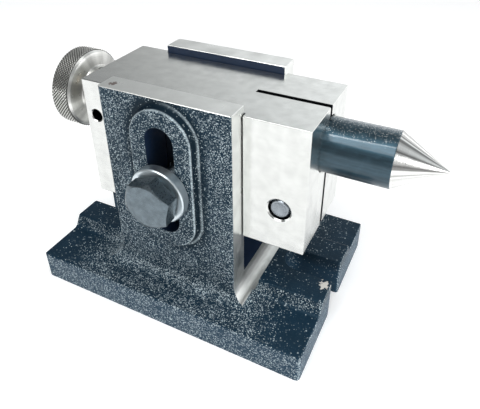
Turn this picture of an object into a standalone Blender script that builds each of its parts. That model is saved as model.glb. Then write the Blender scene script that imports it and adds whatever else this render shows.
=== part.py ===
"""Adjustable tailstock for a rotary table or dividing head.

A cast base with a two-cheeked fork carries a ground steel block. The block slides up and down
in the fork and is clamped by a hexagon bolt through each slotted cheek. A dead centre slides in
the block's split nose, fed by a knurled knob behind it.

Frame: +X along the spindle towards the centre's point, +Z up, origin on the base's underside
below the clamp bolts. Lengths are in metres.
"""
import math

import bmesh
import bpy
from mathutils import Matrix, Vector

# ---------------------------------------------------------------- driving dimensions
CLEARANCE = 0.0003          # gap between pieces that touch or fit on the real object

# base casting
BASE_LENGTH = 0.118
BASE_WIDTH = 0.080
BASE_THICKNESS = 0.0125
BASE_CORNER_RADIUS = 0.0025
PAD_RISE = 0.005            # the pads beside the table slots stand this far above the plate
PAD_TOP_WIDTH = 0.0345
PAD_SIDE_SLOPE = 0.003      # how far a pad's side runs out on its way down
TABLE_SLOT_WIDTH = 0.0115
TABLE_SLOT_DEPTH = 0.022    # from the base's end to the slot's round end

# fork
FORK_LENGTH = 0.0525
FORK_HEIGHT = 0.093
CHEEK_THICKNESS = 0.009
CHANNEL_WIDTH = 0.035
CHANNEL_FLOOR = 0.020
SIDE_FILLET = 0.006         # cast fillet along the cheeks' outer faces
BACK_FILLET = 0.009         # cast fillet at the knob end
FRONT_FILLET = 0.004        # milled fillet at the nose end
BOSS_WIDTH = 0.0246
BOSS_RISE = 0.003
CLAMP_SLOT_PLAY = 0.0015    # the slot is this much wider than the clamp bolt
CLAMP_SLOT_ABOVE_FLOOR = 0.02525    # channel floor to the centre of the slot's lower end
CLAMP_SLOT_BELOW_TOP = 0.01475      # cheek top to the centre of the slot's upper end

# spindle block
SPINDLE_HEIGHT = 0.0755     # at rest, above the base's underside
BLOCK_BELOW_SPINDLE = 0.036
BLOCK_ABOVE_SPINDLE = 0.0145
NOSE_LENGTH = 0.0237
TAIL_LENGTH = 0.0137
SHOULDER_OVERLAP = 0.00175  # nose and tail reach this far past the channel wall on each side
SLIT_WIDTH = 0.002
SLIT_LENGTH = 0.0275        # from the nose's front face
BORE_WALL = 0.010           # metal left between the centre's bore and the tail's back face

# centre
CENTRE_DIAMETER = 0.020
CENTRE_REACH = 0.0235       # cylinder standing out of the nose at rest
CENTRE_BODY_LENGTH = 0.0815
CONE_ANGLE = math.radians(60)
KEYWAY_WIDTH = 0.005
KEYWAY_DEPTH = 0.0025
KEYWAY_TO_SHOULDER = 0.007
CENTRE_THREAD_DEPTH = 0.040

# feed screw and knob
SCREW_DIAMETER = 0.010
SCREW_REACH = 0.044         # from the bore's bottom to the screw's tip
COLLAR_DIAMETER = 0.016
COLLAR_WIDTH = 0.0035
GROOVE_DIAMETER = 0.006
GROOVE_WIDTH = 0.0052
KNOB_SEAT_DIAMETER = 0.008
KNOB_DIAMETER = 0.033
KNOB_WIDTH = 0.0105
KNOB_CHAMFER = 0.001
HUB_DIAMETER = 0.020
HUB_LENGTH = 0.0085
KNOB_PIN_DIAMETER = 0.003
THRUST_WASHER_THICKNESS = 0.0015

# screws that act on the feed screw, the centre and the split nose
RETAINER_DIAMETER = 0.0044
RETAINER_DOG_DIAMETER = 0.0030
RETAINER_INSET = 0.004      # its head below the tail's side face
RETAINER_FROM_TAIL = 0.00475
KEY_SCREW_DIAMETER = 0.005
KEY_SCREW_LENGTH = 0.011
KEY_SCREW_FROM_NOSE = 0.0385
PINCH_DIAMETER = 0.008
PINCH_HEAD_DIAMETER = 0.013
PINCH_HEAD_HEIGHT = 0.008
PINCH_HEAD_INSET = 0.0004   # its head below the nose's far side face
PINCH_END_INSET = 0.0006    # its plain end below the nose's near side face
PINCH_SOCKET = 0.006        # across flats
PINCH_FROM_NOSE = 0.0098
PINCH_WALL = 0.0045         # metal between the centre's bore and the pinch screw's hole

# clamp bolts
BOLT_DIAMETER = 0.010
BOLT_LENGTH = 0.030
BOLT_WALL = 0.0014          # metal between the centre's bore and the bolts' holes
HEAD_FLATS = 0.017
HEAD_HEIGHT = 0.0064
HEAD_TURN = math.radians(17.8)      # how far round the heads stand at rest
CLAMP_WASHER_DIAMETER = 0.022
CLAMP_WASHER_THICKNESS = 0.004

SOCKET_SHARE = 0.5          # a grub screw's socket flats, as a share of its diameter

# ---------------------------------------------------------------- places worked out from them
FORK_END = FORK_LENGTH / 2
CHANNEL_SIDE = CHANNEL_WIDTH / 2
CHEEK_FACE = CHANNEL_SIDE + CHEEK_THICKNESS
BOSS_FACE = CHEEK_FACE + BOSS_RISE
CLAMP_SLOT_WIDTH = BOLT_DIAMETER + CLAMP_SLOT_PLAY
SLOT_LOW = CHANNEL_FLOOR + CLAMP_SLOT_ABOVE_FLOOR
SLOT_HIGH = FORK_HEIGHT - CLAMP_SLOT_BELOW_TOP

NOSE_BACK = FORK_END + CLEARANCE
NOSE_FRONT = NOSE_BACK + NOSE_LENGTH
TAIL_BACK = -(FORK_END + CLEARANCE + TAIL_LENGTH)
WAIST_SIDE = CHANNEL_SIDE - CLEARANCE
SHOULDER_SIDE = CHANNEL_SIDE + SHOULDER_OVERLAP
BLOCK_BOTTOM = SPINDLE_HEIGHT - BLOCK_BELOW_SPINDLE
BLOCK_TOP = SPINDLE_HEIGHT + BLOCK_ABOVE_SPINDLE
BORE_BOTTOM = TAIL_BACK + BORE_WALL

CENTRE_RADIUS = CENTRE_DIAMETER / 2
SHOULDER = NOSE_FRONT + CENTRE_REACH
CENTRE_REAR = SHOULDER - CENTRE_BODY_LENGTH
KEYWAY_FLOOR = CENTRE_RADIUS - KEYWAY_DEPTH

SCREW_RADIUS = SCREW_DIAMETER / 2
SCREW_TIP = BORE_BOTTOM + SCREW_REACH
HUB_FRONT = TAIL_BACK - THRUST_WASHER_THICKNESS - 2 * CLEARANCE
KNOB_FRONT = HUB_FRONT - HUB_LENGTH
KNOB_BACK = KNOB_FRONT - KNOB_WIDTH
PIN_PLACE = HUB_FRONT - HUB_LENGTH / 2

RETAINER_PLACE = TAIL_BACK + RETAINER_FROM_TAIL
KEY_SCREW_PLACE = NOSE_FRONT - KEY_SCREW_FROM_NOSE
PINCH_PLACE = NOSE_FRONT - PINCH_FROM_NOSE
BORE_LOWEST = SPINDLE_HEIGHT - CENTRE_RADIUS - CLEARANCE
PINCH_HEIGHT = BORE_LOWEST - PINCH_WALL - CLEARANCE - PINCH_DIAMETER / 2
PINCH_SEAT = SHOULDER_SIDE - PINCH_HEAD_INSET - PINCH_HEAD_HEIGHT - CLEARANCE
BOLT_HEIGHT = BORE_LOWEST - BOLT_WALL - CLEARANCE - BOLT_DIAMETER / 2
WASHER_FACE = BOSS_FACE + CLEARANCE
HEAD_SEAT = WASHER_FACE + CLAMP_WASHER_THICKNESS + CLEARANCE

BEYOND = 0.010              # how far a cutter runs past the face that it opens
ALONG_X = Matrix.Rotation(math.radians(90), 4, "Y")
ALONG_MINUS_Y = Matrix.Rotation(math.radians(90), 4, "X")
ALONG_PLUS_Y = Matrix.Rotation(math.radians(-90), 4, "X")
UP = Matrix.Identity(4)


# ---------------------------------------------------------------- scene and helpers
def new_collection(name):
    collection = bpy.data.collections.new(name)
    bpy.context.scene.collection.children.link(collection)
    return collection


def clear_scene():
    for obj in list(bpy.data.objects):
        bpy.data.objects.remove(obj, do_unlink=True)


def material(name, colour, roughness, metallic):
    made = bpy.data.materials.new(name)
    made.use_nodes = True
    shader = made.node_tree.nodes["Principled BSDF"]
    shader.inputs["Base Color"].default_value = (*colour, 1.0)
    shader.inputs["Roughness"].default_value = roughness
    shader.inputs["Metallic"].default_value = metallic
    return made


def object_from(bm, name):
    """Turn a bmesh into a linked object; it is a cutter until finish() makes it a part."""
    mesh = bpy.data.meshes.new(name)
    bm.to_mesh(mesh)
    bm.free()
    obj = bpy.data.objects.new(name, mesh)
    CUTTERS.objects.link(obj)
    obj.hide_render = True
    obj.display_type = "WIRE"
    return obj


def box(name, low, high):
    bm = bmesh.new()
    size = Vector(high) - Vector(low)
    middle = (Vector(high) + Vector(low)) / 2
    bmesh.ops.create_cube(bm, size=1, matrix=Matrix.Translation(middle) @ Matrix.Diagonal((*size, 1)))
    return object_from(bm, name)


def prism(name, radius, start, length, direction, sides=48):
    """A round or many-sided bar from start, along the direction that the rotation turns Z into."""
    bm = bmesh.new()
    bmesh.ops.create_cone(
        bm, cap_ends=True, segments=sides, radius1=radius, radius2=radius, depth=length,
        matrix=Matrix.Translation((0, 0, length / 2)),
    )
    obj = object_from(bm, name)
    obj.matrix_world = Matrix.Translation(start) @ direction
    return obj


def hexagon(name, flats, start, length, direction, turn=0.0):
    corner = flats / math.sqrt(3)
    return prism(name, corner, start, length, direction @ Matrix.Rotation(turn, 4, "Z"), sides=6)


def turned(name, outline, start, direction, steps=48):
    """Revolve an outline of (radius, height) points. It runs down the outside, top first, and is
    joined up when it doesn't begin and end on the axis."""
    bm = bmesh.new()
    points = [bm.verts.new((radius, 0, height)) for radius, height in outline]
    for first, second in zip(points, points[1:]):
        bm.edges.new((first, second))
    if outline[0][0] > 0:
        bm.edges.new((points[-1], points[0]))
    obj = object_from(bm, name)
    obj.matrix_world = Matrix.Translation(start) @ direction
    screw = obj.modifiers.new("turn", "SCREW")
    screw.steps = steps
    screw.render_steps = steps
    screw.use_merge_vertices = True
    screw.merge_threshold = 0.00001
    screw.use_smooth_shade = True
    return obj


def arc(centre, radius, start, end, steps):
    """Points of a flat arc, angles in degrees."""
    angles = [math.radians(start + (end - start) * step / steps) for step in range(steps + 1)]
    return [(centre[0] + radius * math.cos(a), centre[1] + radius * math.sin(a)) for a in angles]


def plate(name, outline, thickness, placing):
    """A flat outline given a thickness, from z = 0 up before it is placed."""
    curve = bpy.data.curves.new(name, "CURVE")
    curve.dimensions = "2D"
    curve.fill_mode = "BOTH"
    curve.extrude = thickness / 2
    spline = curve.splines.new("POLY")
    spline.points.add(len(outline) - 1)
    for point, (x, y) in zip(spline.points, outline):
        point.co = (x, y, 0, 1)
    spline.use_cyclic_u = True
    drawn = bpy.data.objects.new(name, curve)
    CUTTERS.objects.link(drawn)
    bpy.context.view_layer.update()
    bm = bmesh.new()
    bm.from_mesh(bpy.data.meshes.new_from_object(drawn.evaluated_get(bpy.context.evaluated_depsgraph_get())))
    bpy.data.objects.remove(drawn, do_unlink=True)
    bmesh.ops.remove_doubles(bm, verts=bm.verts, dist=0.000001)
    bmesh.ops.translate(bm, verts=bm.verts, vec=(0, 0, thickness / 2))
    bmesh.ops.recalc_face_normals(bm, faces=bm.faces)
    obj = object_from(bm, name)
    obj.matrix_world = placing
    return obj


def round_ended(low, high, width, steps=16):
    """Outline of an upright slot or boss: two half circles with their centres at low and high."""
    radius = width / 2
    return arc((0, high), radius, 0, 180, steps) + arc((0, low), radius, 180, 360, steps)


def combine(obj, operation, others):
    for number, other in enumerate(others):
        boolean = obj.modifiers.new(f"{operation.lower()} {number}", "BOOLEAN")
        boolean.operation = operation
        boolean.solver = "EXACT"
        boolean.object = other


def cut(obj, *cutters):
    combine(obj, "DIFFERENCE", cutters)


def join(obj, *additions):
    combine(obj, "UNION", additions)


def joint_empty(name, place, parent=None):
    empty = bpy.data.objects.new(name, None)
    PARTS.objects.link(empty)
    empty.empty_display_size = 0.01
    empty.location = place
    hang(empty, parent)
    return empty


def hang(obj, parent):
    """Parent an object without moving it."""
    bpy.context.view_layer.update()
    if parent:
        obj.parent = parent
        obj.matrix_parent_inverse = parent.matrix_world.inverted()


def finish(obj, finish_material, parent):
    """Make a worked shape one of the object's parts."""
    CUTTERS.objects.unlink(obj)
    PARTS.objects.link(obj)
    obj.hide_render = False
    obj.display_type = "TEXTURED"
    obj.data.materials.append(finish_material)
    hang(obj, parent)
    return obj


# ---------------------------------------------------------------- base casting
def fillet_offset(rise, radius):
    """How far a concave fillet stands out from its wall at a height above the plate."""
    if rise >= radius:
        return 0.0
    return radius - math.sqrt(radius ** 2 - (radius - rise) ** 2)


def fork_column():
    """The fork before it is cut: a column that flares into the base through its fillets."""
    steps = 10
    tallest = max(SIDE_FILLET, BACK_FILLET, FRONT_FILLET)
    rises = [tallest * (1 - math.cos(math.pi / 2 * step / steps)) for step in range(steps + 1)]
    sections = [(BASE_THICKNESS / 2, 0.0)]
    sections += [(BASE_THICKNESS + rise, rise) for rise in rises]
    sections.append((FORK_HEIGHT, tallest))
    bm = bmesh.new()
    rings = []
    for height, rise in sections:
        back = -FORK_END - fillet_offset(rise, BACK_FILLET)
        front = FORK_END + fillet_offset(rise, FRONT_FILLET)
        side = CHEEK_FACE + fillet_offset(rise, SIDE_FILLET)
        corners = [(back, -side), (front, -side), (front, side), (back, side)]
        rings.append([bm.verts.new((x, y, height)) for x, y in corners])
    for lower, upper in zip(rings, rings[1:]):
        for corner in range(4):
            after = (corner + 1) % 4
            bm.faces.new((lower[corner], lower[after], upper[after], upper[corner]))
    bm.faces.new(reversed(rings[0]))
    bm.faces.new(rings[-1])
    return object_from(bm, "fork_column")


def base_plate():
    """The plate and its pads as one section along X, with the plate's upright corners rounded."""
    half = BASE_WIDTH / 2
    pad = PAD_TOP_WIDTH / 2
    pad_foot = pad + PAD_SIDE_SLOPE
    pad_top = BASE_THICKNESS + PAD_RISE
    section = [
        (-half, 0), (half, 0), (half, BASE_THICKNESS), (pad_foot, BASE_THICKNESS),
        (pad, pad_top), (-pad, pad_top), (-pad_foot, BASE_THICKNESS), (-half, BASE_THICKNESS),
    ]
    along_x = Matrix(((0, 0, 1, 0), (1, 0, 0, 0), (0, 1, 0, 0), (0, 0, 0, 1)))
    slab = plate("base_casting", section, BASE_LENGTH, Matrix.Identity(4))
    bm = bmesh.new()
    bm.from_mesh(slab.data)
    bmesh.ops.transform(bm, verts=bm.verts, matrix=Matrix.Translation((-BASE_LENGTH / 2, 0, 0)) @ along_x)
    bmesh.ops.dissolve_limit(bm, angle_limit=0.01, verts=bm.verts, edges=bm.edges)
    corners = []
    for edge in bm.edges:
        first, second = (vert.co for vert in edge.verts)
        upright = abs(first.x - second.x) < CLEARANCE and abs(first.y - second.y) < CLEARANCE
        if upright and abs(abs(first.y) - half) < CLEARANCE:
            corners.append(edge)
    bmesh.ops.bevel(
        bm, geom=corners, offset=BASE_CORNER_RADIUS, segments=6, profile=0.5, affect="EDGES"
    )
    bm.to_mesh(slab.data)
    bm.free()
    return slab


def table_slot(side):
    """Cutter for the open clamping slot at one end of the base."""
    end = side * (BASE_LENGTH / 2 + BEYOND)
    centre = side * (BASE_LENGTH / 2 - TABLE_SLOT_DEPTH + TABLE_SLOT_WIDTH / 2)
    radius = TABLE_SLOT_WIDTH / 2
    inner = arc((centre, 0), radius, 90, 270, 16) if side > 0 else arc((centre, 0), radius, -90, 90, 16)
    outline = inner + [(end, -side * radius), (end, side * radius)]
    height = BASE_THICKNESS + PAD_RISE + 2 * BEYOND
    return plate(f"table_slot_{side}", outline, height, Matrix.Translation((0, 0, -BEYOND)))


def boss(side):
    """Raised pad round the clamp slot, on one cheek's outer face."""
    depth = CHEEK_THICKNESS / 2 + BOSS_RISE
    start = side * BOSS_FACE if side > 0 else side * (BOSS_FACE - depth)
    placing = Matrix.Translation((0, start, 0)) @ ALONG_MINUS_Y
    return plate(f"boss_{side}", round_ended(SLOT_LOW, SLOT_HIGH, BOSS_WIDTH), depth, placing)


def make_base():
    base = base_plate()
    channel = box(
        "channel", (-FORK_LENGTH, -CHANNEL_SIDE, CHANNEL_FLOOR),
        (FORK_LENGTH, CHANNEL_SIDE, FORK_HEIGHT + BEYOND),
    )
    slot_run = 2 * (BOSS_FACE + BEYOND)
    clamp_slot = plate(
        "clamp_slot", round_ended(SLOT_LOW, SLOT_HIGH, CLAMP_SLOT_WIDTH), slot_run,
        Matrix.Translation((0, slot_run / 2, 0)) @ ALONG_MINUS_Y,
    )
    join(base, fork_column(), boss(-1), boss(1))
    cut(base, channel, clamp_slot, table_slot(-1), table_slot(1))
    return finish(base, material("cast_paint", (0.035, 0.055, 0.075), 0.45, 0.0), None)


# ---------------------------------------------------------------- spindle block
def make_block(parent):
    """H-shaped in plan: nose and tail stand wider than the waist that fills the fork's channel."""
    half = [
        (NOSE_FRONT, SHOULDER_SIDE), (NOSE_BACK, SHOULDER_SIDE), (NOSE_BACK, WAIST_SIDE),
        (-NOSE_BACK, WAIST_SIDE), (-NOSE_BACK, SHOULDER_SIDE), (TAIL_BACK, SHOULDER_SIDE),
    ]
    outline = half + [(x, -y) for x, y in reversed(half)]
    height = BLOCK_TOP - BLOCK_BOTTOM
    block = plate("spindle_block", outline, height, Matrix.Translation((0, 0, BLOCK_BOTTOM)))
    bore = prism(
        "centre_bore", CENTRE_RADIUS + CLEARANCE, (BORE_BOTTOM, 0, SPINDLE_HEIGHT),
        NOSE_FRONT - BORE_BOTTOM + BEYOND, ALONG_X, sides=64,
    )
    journal = prism(
        "journal_bore", SCREW_RADIUS + CLEARANCE, (TAIL_BACK - BEYOND, 0, SPINDLE_HEIGHT),
        BORE_WALL + 2 * BEYOND, ALONG_X,
    )
    slit = box(
        "nose_slit", (NOSE_FRONT - SLIT_LENGTH, -SLIT_WIDTH / 2, BLOCK_BOTTOM - BEYOND),
        (NOSE_FRONT + BEYOND, SLIT_WIDTH / 2, BLOCK_TOP + BEYOND),
    )
    pinch_hole = prism(
        "pinch_hole", PINCH_DIAMETER / 2 + CLEARANCE, (PINCH_PLACE, SHOULDER_SIDE + BEYOND, PINCH_HEIGHT),
        2 * (SHOULDER_SIDE + BEYOND), ALONG_MINUS_Y, sides=32,
    )
    pinch_counterbore = prism(
        "pinch_counterbore", PINCH_HEAD_DIAMETER / 2 + CLEARANCE, (PINCH_PLACE, PINCH_SEAT, PINCH_HEIGHT),
        PINCH_HEAD_HEIGHT + BEYOND, ALONG_PLUS_Y,
    )
    retainer_hole = prism(
        "retainer_hole", RETAINER_DIAMETER / 2 + CLEARANCE, (RETAINER_PLACE, 0, SPINDLE_HEIGHT),
        SHOULDER_SIDE + BEYOND, ALONG_MINUS_Y, sides=32,
    )
    key_hole = prism(
        "key_hole", KEY_SCREW_DIAMETER / 2 + CLEARANCE, (KEY_SCREW_PLACE, 0, BLOCK_BOTTOM - BEYOND),
        BLOCK_BELOW_SPINDLE - KEYWAY_FLOOR + BEYOND, UP, sides=32,
    )
    bolt_depth = HEAD_SEAT - BOLT_LENGTH - CLEARANCE
    bolt_holes = [
        prism(
            f"bolt_hole_{side}", BOLT_DIAMETER / 2 + CLEARANCE, (0, side * bolt_depth, BOLT_HEIGHT),
            WAIST_SIDE - bolt_depth + BEYOND, direction,
        )
        for side, direction in ((-1, ALONG_MINUS_Y), (1, ALONG_PLUS_Y))
    ]
    cut(block, bore, journal, slit, pinch_hole, pinch_counterbore, retainer_hole, key_hole, *bolt_holes)
    return finish(block, material("ground_steel", (0.62, 0.63, 0.62), 0.28, 1.0), parent)


# ---------------------------------------------------------------- centre, feed screw and knob
def make_centre(parent):
    """The dead centre, turned about its own axis with its rear face at height 0."""
    length = SHOULDER - CENTRE_REAR
    cone = CENTRE_RADIUS / math.tan(CONE_ANGLE / 2)
    thread = SCREW_RADIUS + CLEARANCE
    outline = [
        (0, length + cone), (CENTRE_RADIUS, length), (CENTRE_RADIUS, 0), (thread, 0),
        (thread, CENTRE_THREAD_DEPTH), (0, CENTRE_THREAD_DEPTH + thread / 2),
    ]
    centre = turned("centre", outline, (CENTRE_REAR, 0, SPINDLE_HEIGHT), ALONG_X, steps=64)
    keyway_end = SHOULDER - KEYWAY_TO_SHOULDER - KEYWAY_WIDTH / 2
    half = KEYWAY_WIDTH / 2
    rear = CENTRE_REAR - BEYOND
    outline = arc((keyway_end, 0), half, -90, 90, 12) + [(rear, half), (rear, -half)]
    lowest = SPINDLE_HEIGHT - CENTRE_RADIUS - BEYOND
    keyway = plate("keyway", outline, KEYWAY_DEPTH + BEYOND, Matrix.Translation((0, 0, lowest)))
    cut(centre, keyway)
    return finish(centre, material("blued_steel", (0.03, 0.045, 0.07), 0.25, 1.0), parent)


def pin_hole():
    length = HUB_DIAMETER + 2 * BEYOND
    return prism(
        "pin_hole", KNOB_PIN_DIAMETER / 2 + CLEARANCE, (PIN_PLACE, 0, SPINDLE_HEIGHT - length / 2),
        length, UP, sides=24,
    )


def make_feed_screw(parent, hole):
    """Thread, thrust collar, grooved journal in the tail, and the seat for the knob."""
    collar_front = BORE_BOTTOM + CLEARANCE + COLLAR_WIDTH
    groove = GROOVE_WIDTH / 2
    chamfer = 0.001
    places = [
        (0, SCREW_TIP), (SCREW_RADIUS - chamfer, SCREW_TIP), (SCREW_RADIUS, SCREW_TIP - chamfer),
        (SCREW_RADIUS, collar_front), (COLLAR_DIAMETER / 2, collar_front),
        (COLLAR_DIAMETER / 2, BORE_BOTTOM + CLEARANCE), (SCREW_RADIUS, BORE_BOTTOM + CLEARANCE),
        (SCREW_RADIUS, RETAINER_PLACE + groove), (GROOVE_DIAMETER / 2, RETAINER_PLACE + groove),
        (GROOVE_DIAMETER / 2, RETAINER_PLACE - groove), (SCREW_RADIUS, RETAINER_PLACE - groove),
        (SCREW_RADIUS, HUB_FRONT + CLEARANCE), (KNOB_SEAT_DIAMETER / 2, HUB_FRONT + CLEARANCE),
        (KNOB_SEAT_DIAMETER / 2, KNOB_BACK + chamfer), (0, KNOB_BACK + chamfer),
    ]
    outline = [(radius, place - KNOB_BACK) for radius, place in places]
    screw = turned("feed_screw", outline, (KNOB_BACK, 0, SPINDLE_HEIGHT), ALONG_X)
    cut(screw, hole)
    return finish(screw, material("screw_steel", (0.35, 0.35, 0.36), 0.35, 1.0), parent)


def make_knob(parent, hole):
    """Rim, shallow coned front face and hub, bored for the screw's seat."""
    rim = KNOB_DIAMETER / 2
    bore = KNOB_SEAT_DIAMETER / 2 + CLEARANCE
    cone_rise = 0.0015
    front = KNOB_WIDTH - cone_rise
    outline = [
        (bore, KNOB_WIDTH + HUB_LENGTH), (HUB_DIAMETER / 2, KNOB_WIDTH + HUB_LENGTH),
        (HUB_DIAMETER / 2, KNOB_WIDTH), (rim - KNOB_CHAMFER, front), (rim, front - KNOB_CHAMFER),
        (rim, KNOB_CHAMFER), (rim - KNOB_CHAMFER, 0), (bore, 0),
    ]
    knob = turned("feed_knob", outline, (KNOB_BACK, 0, SPINDLE_HEIGHT), ALONG_X, steps=64)
    cut(knob, hole)
    return finish(knob, material("knob_steel", (0.60, 0.60, 0.57), 0.22, 1.0), parent)


def make_knob_pin(parent):
    pin = prism(
        "knob_pin", KNOB_PIN_DIAMETER / 2, (PIN_PLACE, 0, SPINDLE_HEIGHT - HUB_DIAMETER / 2),
        HUB_DIAMETER, UP, sides=24,
    )
    return finish(pin, material("pin_steel", (0.40, 0.40, 0.41), 0.30, 1.0), parent)


def ring(name, outer, inner, thickness, start, direction):
    outline = [(inner, thickness), (outer, thickness), (outer, 0), (inner, 0)]
    return turned(name, outline, start, direction)


def make_thrust_washer(parent):
    washer = ring(
        "feed_thrust_washer", HUB_DIAMETER / 2, SCREW_RADIUS + CLEARANCE, THRUST_WASHER_THICKNESS,
        (HUB_FRONT + CLEARANCE, 0, SPINDLE_HEIGHT), ALONG_X,
    )
    return finish(washer, material("bronze", (0.45, 0.30, 0.14), 0.35, 1.0), parent)


# ---------------------------------------------------------------- screws
def grub_screw(name, radius, length, dog_radius, dog_length, head, direction):
    """Dog-point grub screw. Its head end lies at the place given, its dog along the direction."""
    chamfer = radius * 0.15
    outline = [
        (0, length + dog_length), (dog_radius, length + dog_length), (dog_radius, length),
        (radius, length - chamfer), (radius, chamfer), (radius - chamfer, 0), (0, 0),
    ]
    screw = turned(name, outline, head, direction, steps=32)
    socket = hexagon(
        f"{name}_socket", 2 * radius * SOCKET_SHARE, head - direction.to_3x3() @ Vector((0, 0, BEYOND)),
        BEYOND + radius, direction,
    )
    cut(screw, socket)
    return screw


def make_retainer(parent):
    """Screw in the tail's near side, its dog in the feed screw's groove."""
    head = SHOULDER_SIDE - RETAINER_INSET
    dog_end = GROOVE_DIAMETER / 2 + CLEARANCE
    dog_start = SCREW_RADIUS + CLEARANCE
    screw = grub_screw(
        "feed_retaining_screw", RETAINER_DIAMETER / 2, head - dog_start, RETAINER_DOG_DIAMETER / 2,
        dog_start - dog_end, Vector((RETAINER_PLACE, -head, SPINDLE_HEIGHT)), ALONG_PLUS_Y,
    )
    return finish(screw, material("black_screw", (0.03, 0.03, 0.035), 0.45, 1.0), parent)


def make_key_screw(parent):
    """Screw from the block's underside, its dog in the centre's keyway."""
    dog_radius = KEYWAY_WIDTH / 2 - CLEARANCE
    dog_start = CENTRE_RADIUS + CLEARANCE
    dog_length = dog_start - KEYWAY_FLOOR - CLEARANCE
    head = Vector((KEY_SCREW_PLACE, 0, SPINDLE_HEIGHT - dog_start - KEY_SCREW_LENGTH))
    screw = grub_screw(
        "centre_key_screw", KEY_SCREW_DIAMETER / 2, KEY_SCREW_LENGTH, dog_radius, dog_length, head, UP
    )
    return finish(screw, material("black_screw_key", (0.03, 0.03, 0.035), 0.45, 1.0), parent)


def make_pinch_screw(parent):
    """Socket-head screw across the slit: its head is sunk in the nose's far side, and its end shows
    in the near side."""
    head = PINCH_HEAD_DIAMETER / 2
    shank = PINCH_DIAMETER / 2
    reach = PINCH_SEAT + CLEARANCE + SHOULDER_SIDE - PINCH_END_INSET
    chamfer = 0.0006
    outline = [
        (0, PINCH_HEAD_HEIGHT), (head - chamfer, PINCH_HEAD_HEIGHT),
        (head, PINCH_HEAD_HEIGHT - chamfer), (head, 0), (shank, 0),
        (shank, -reach + chamfer), (shank - chamfer, -reach), (0, -reach),
    ]
    seat = Vector((PINCH_PLACE, PINCH_SEAT + CLEARANCE, PINCH_HEIGHT))
    screw = turned("pinch_screw", outline, seat, ALONG_PLUS_Y, steps=40)
    depth = PINCH_HEAD_HEIGHT / 2
    socket_start = seat + Vector((0, PINCH_HEAD_HEIGHT - depth, 0))
    socket = hexagon("pinch_socket", PINCH_SOCKET, socket_start, depth + BEYOND, ALONG_PLUS_Y)
    cut(screw, socket)
    return finish(screw, material("oiled_steel", (0.16, 0.17, 0.19), 0.30, 1.0), parent)


def make_clamp_bolt(name, side, direction, parent):
    """Hexagon bolt whose head is chamfered to a circle on its outer face."""
    seat = Vector((0, side * HEAD_SEAT, BOLT_HEIGHT))
    corner = HEAD_FLATS / math.sqrt(3)
    face = HEAD_FLATS / 2 * 0.95
    drop = (corner - face) * math.tan(math.radians(30))
    bolt = hexagon(name, HEAD_FLATS, seat, HEAD_HEIGHT, direction, side * HEAD_TURN)
    wide = corner + BEYOND
    blank = turned(
        f"{name}_blank",
        [(0, HEAD_HEIGHT), (face, HEAD_HEIGHT), (corner, HEAD_HEIGHT - drop),
         (wide, HEAD_HEIGHT - drop - BEYOND), (wide, -BEYOND), (0, -BEYOND)],
        seat, direction,
    )
    radius = BOLT_DIAMETER / 2
    chamfer = 0.001
    shank = turned(
        f"{name}_shank",
        [(0, HEAD_HEIGHT / 2), (radius, HEAD_HEIGHT / 2), (radius, -BOLT_LENGTH + chamfer),
         (radius - chamfer, -BOLT_LENGTH), (0, -BOLT_LENGTH)],
        seat, direction,
    )
    combine(bolt, "INTERSECT", [blank])
    join(bolt, shank)
    return finish(bolt, material(f"bolt_steel_{name}", (0.30, 0.32, 0.34), 0.32, 1.0), parent)


def make_clamp_washer(name, side, direction, parent):
    washer = ring(
        name, CLAMP_WASHER_DIAMETER / 2, BOLT_DIAMETER / 2 + CLEARANCE, CLAMP_WASHER_THICKNESS,
        (0, side * WASHER_FACE, BOLT_HEIGHT), direction,
    )
    return finish(washer, material(f"washer_steel_{name}", (0.38, 0.40, 0.41), 0.30, 1.0), parent)


# ---------------------------------------------------------------- assembly
def main():
    spindle_line = Vector((0, 0, SPINDLE_HEIGHT))
    base = make_base()
    block_slide = joint_empty("block_slide", spindle_line, base)
    make_block(block_slide)
    make_centre(joint_empty("centre_slide", spindle_line, block_slide))
    feed_axis = joint_empty("feed_axis", Vector((KNOB_BACK, 0, SPINDLE_HEIGHT)), block_slide)
    hole = pin_hole()
    make_feed_screw(feed_axis, hole)
    make_knob(feed_axis, hole)
    make_knob_pin(feed_axis)
    make_thrust_washer(block_slide)
    make_retainer(block_slide)
    make_key_screw(block_slide)
    pinch_axis = joint_empty("pinch_axis", Vector((PINCH_PLACE, 0, PINCH_HEIGHT)), block_slide)
    make_pinch_screw(pinch_axis)
    for label, side, direction in (("near", -1, ALONG_MINUS_Y), ("far", 1, ALONG_PLUS_Y)):
        axis = joint_empty(f"clamp_axis_{label}", Vector((0, 0, BOLT_HEIGHT)), block_slide)
        make_clamp_washer(f"clamp_washer_{label}", side, direction, axis)
        make_clamp_bolt(f"clamp_bolt_{label}", side, direction, axis)


clear_scene()
PARTS = new_collection("adjustable_tailstock")
CUTTERS = new_collection("cutters")
CUTTERS.hide_render = True
main()
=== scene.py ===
"""Finished pieces, finishes and studio for the adjustable tailstock.

Each piece is modelled in detail in the place of its CAD node and rides on that node's body.
Lengths are in metres, with +X along the spindle towards the centre's point and +Z up.
"""
import math

import bmesh
import bpy
from bpy.props import FloatProperty, FloatVectorProperty, IntProperty, PointerProperty
from mathutils import Matrix, Vector


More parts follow.
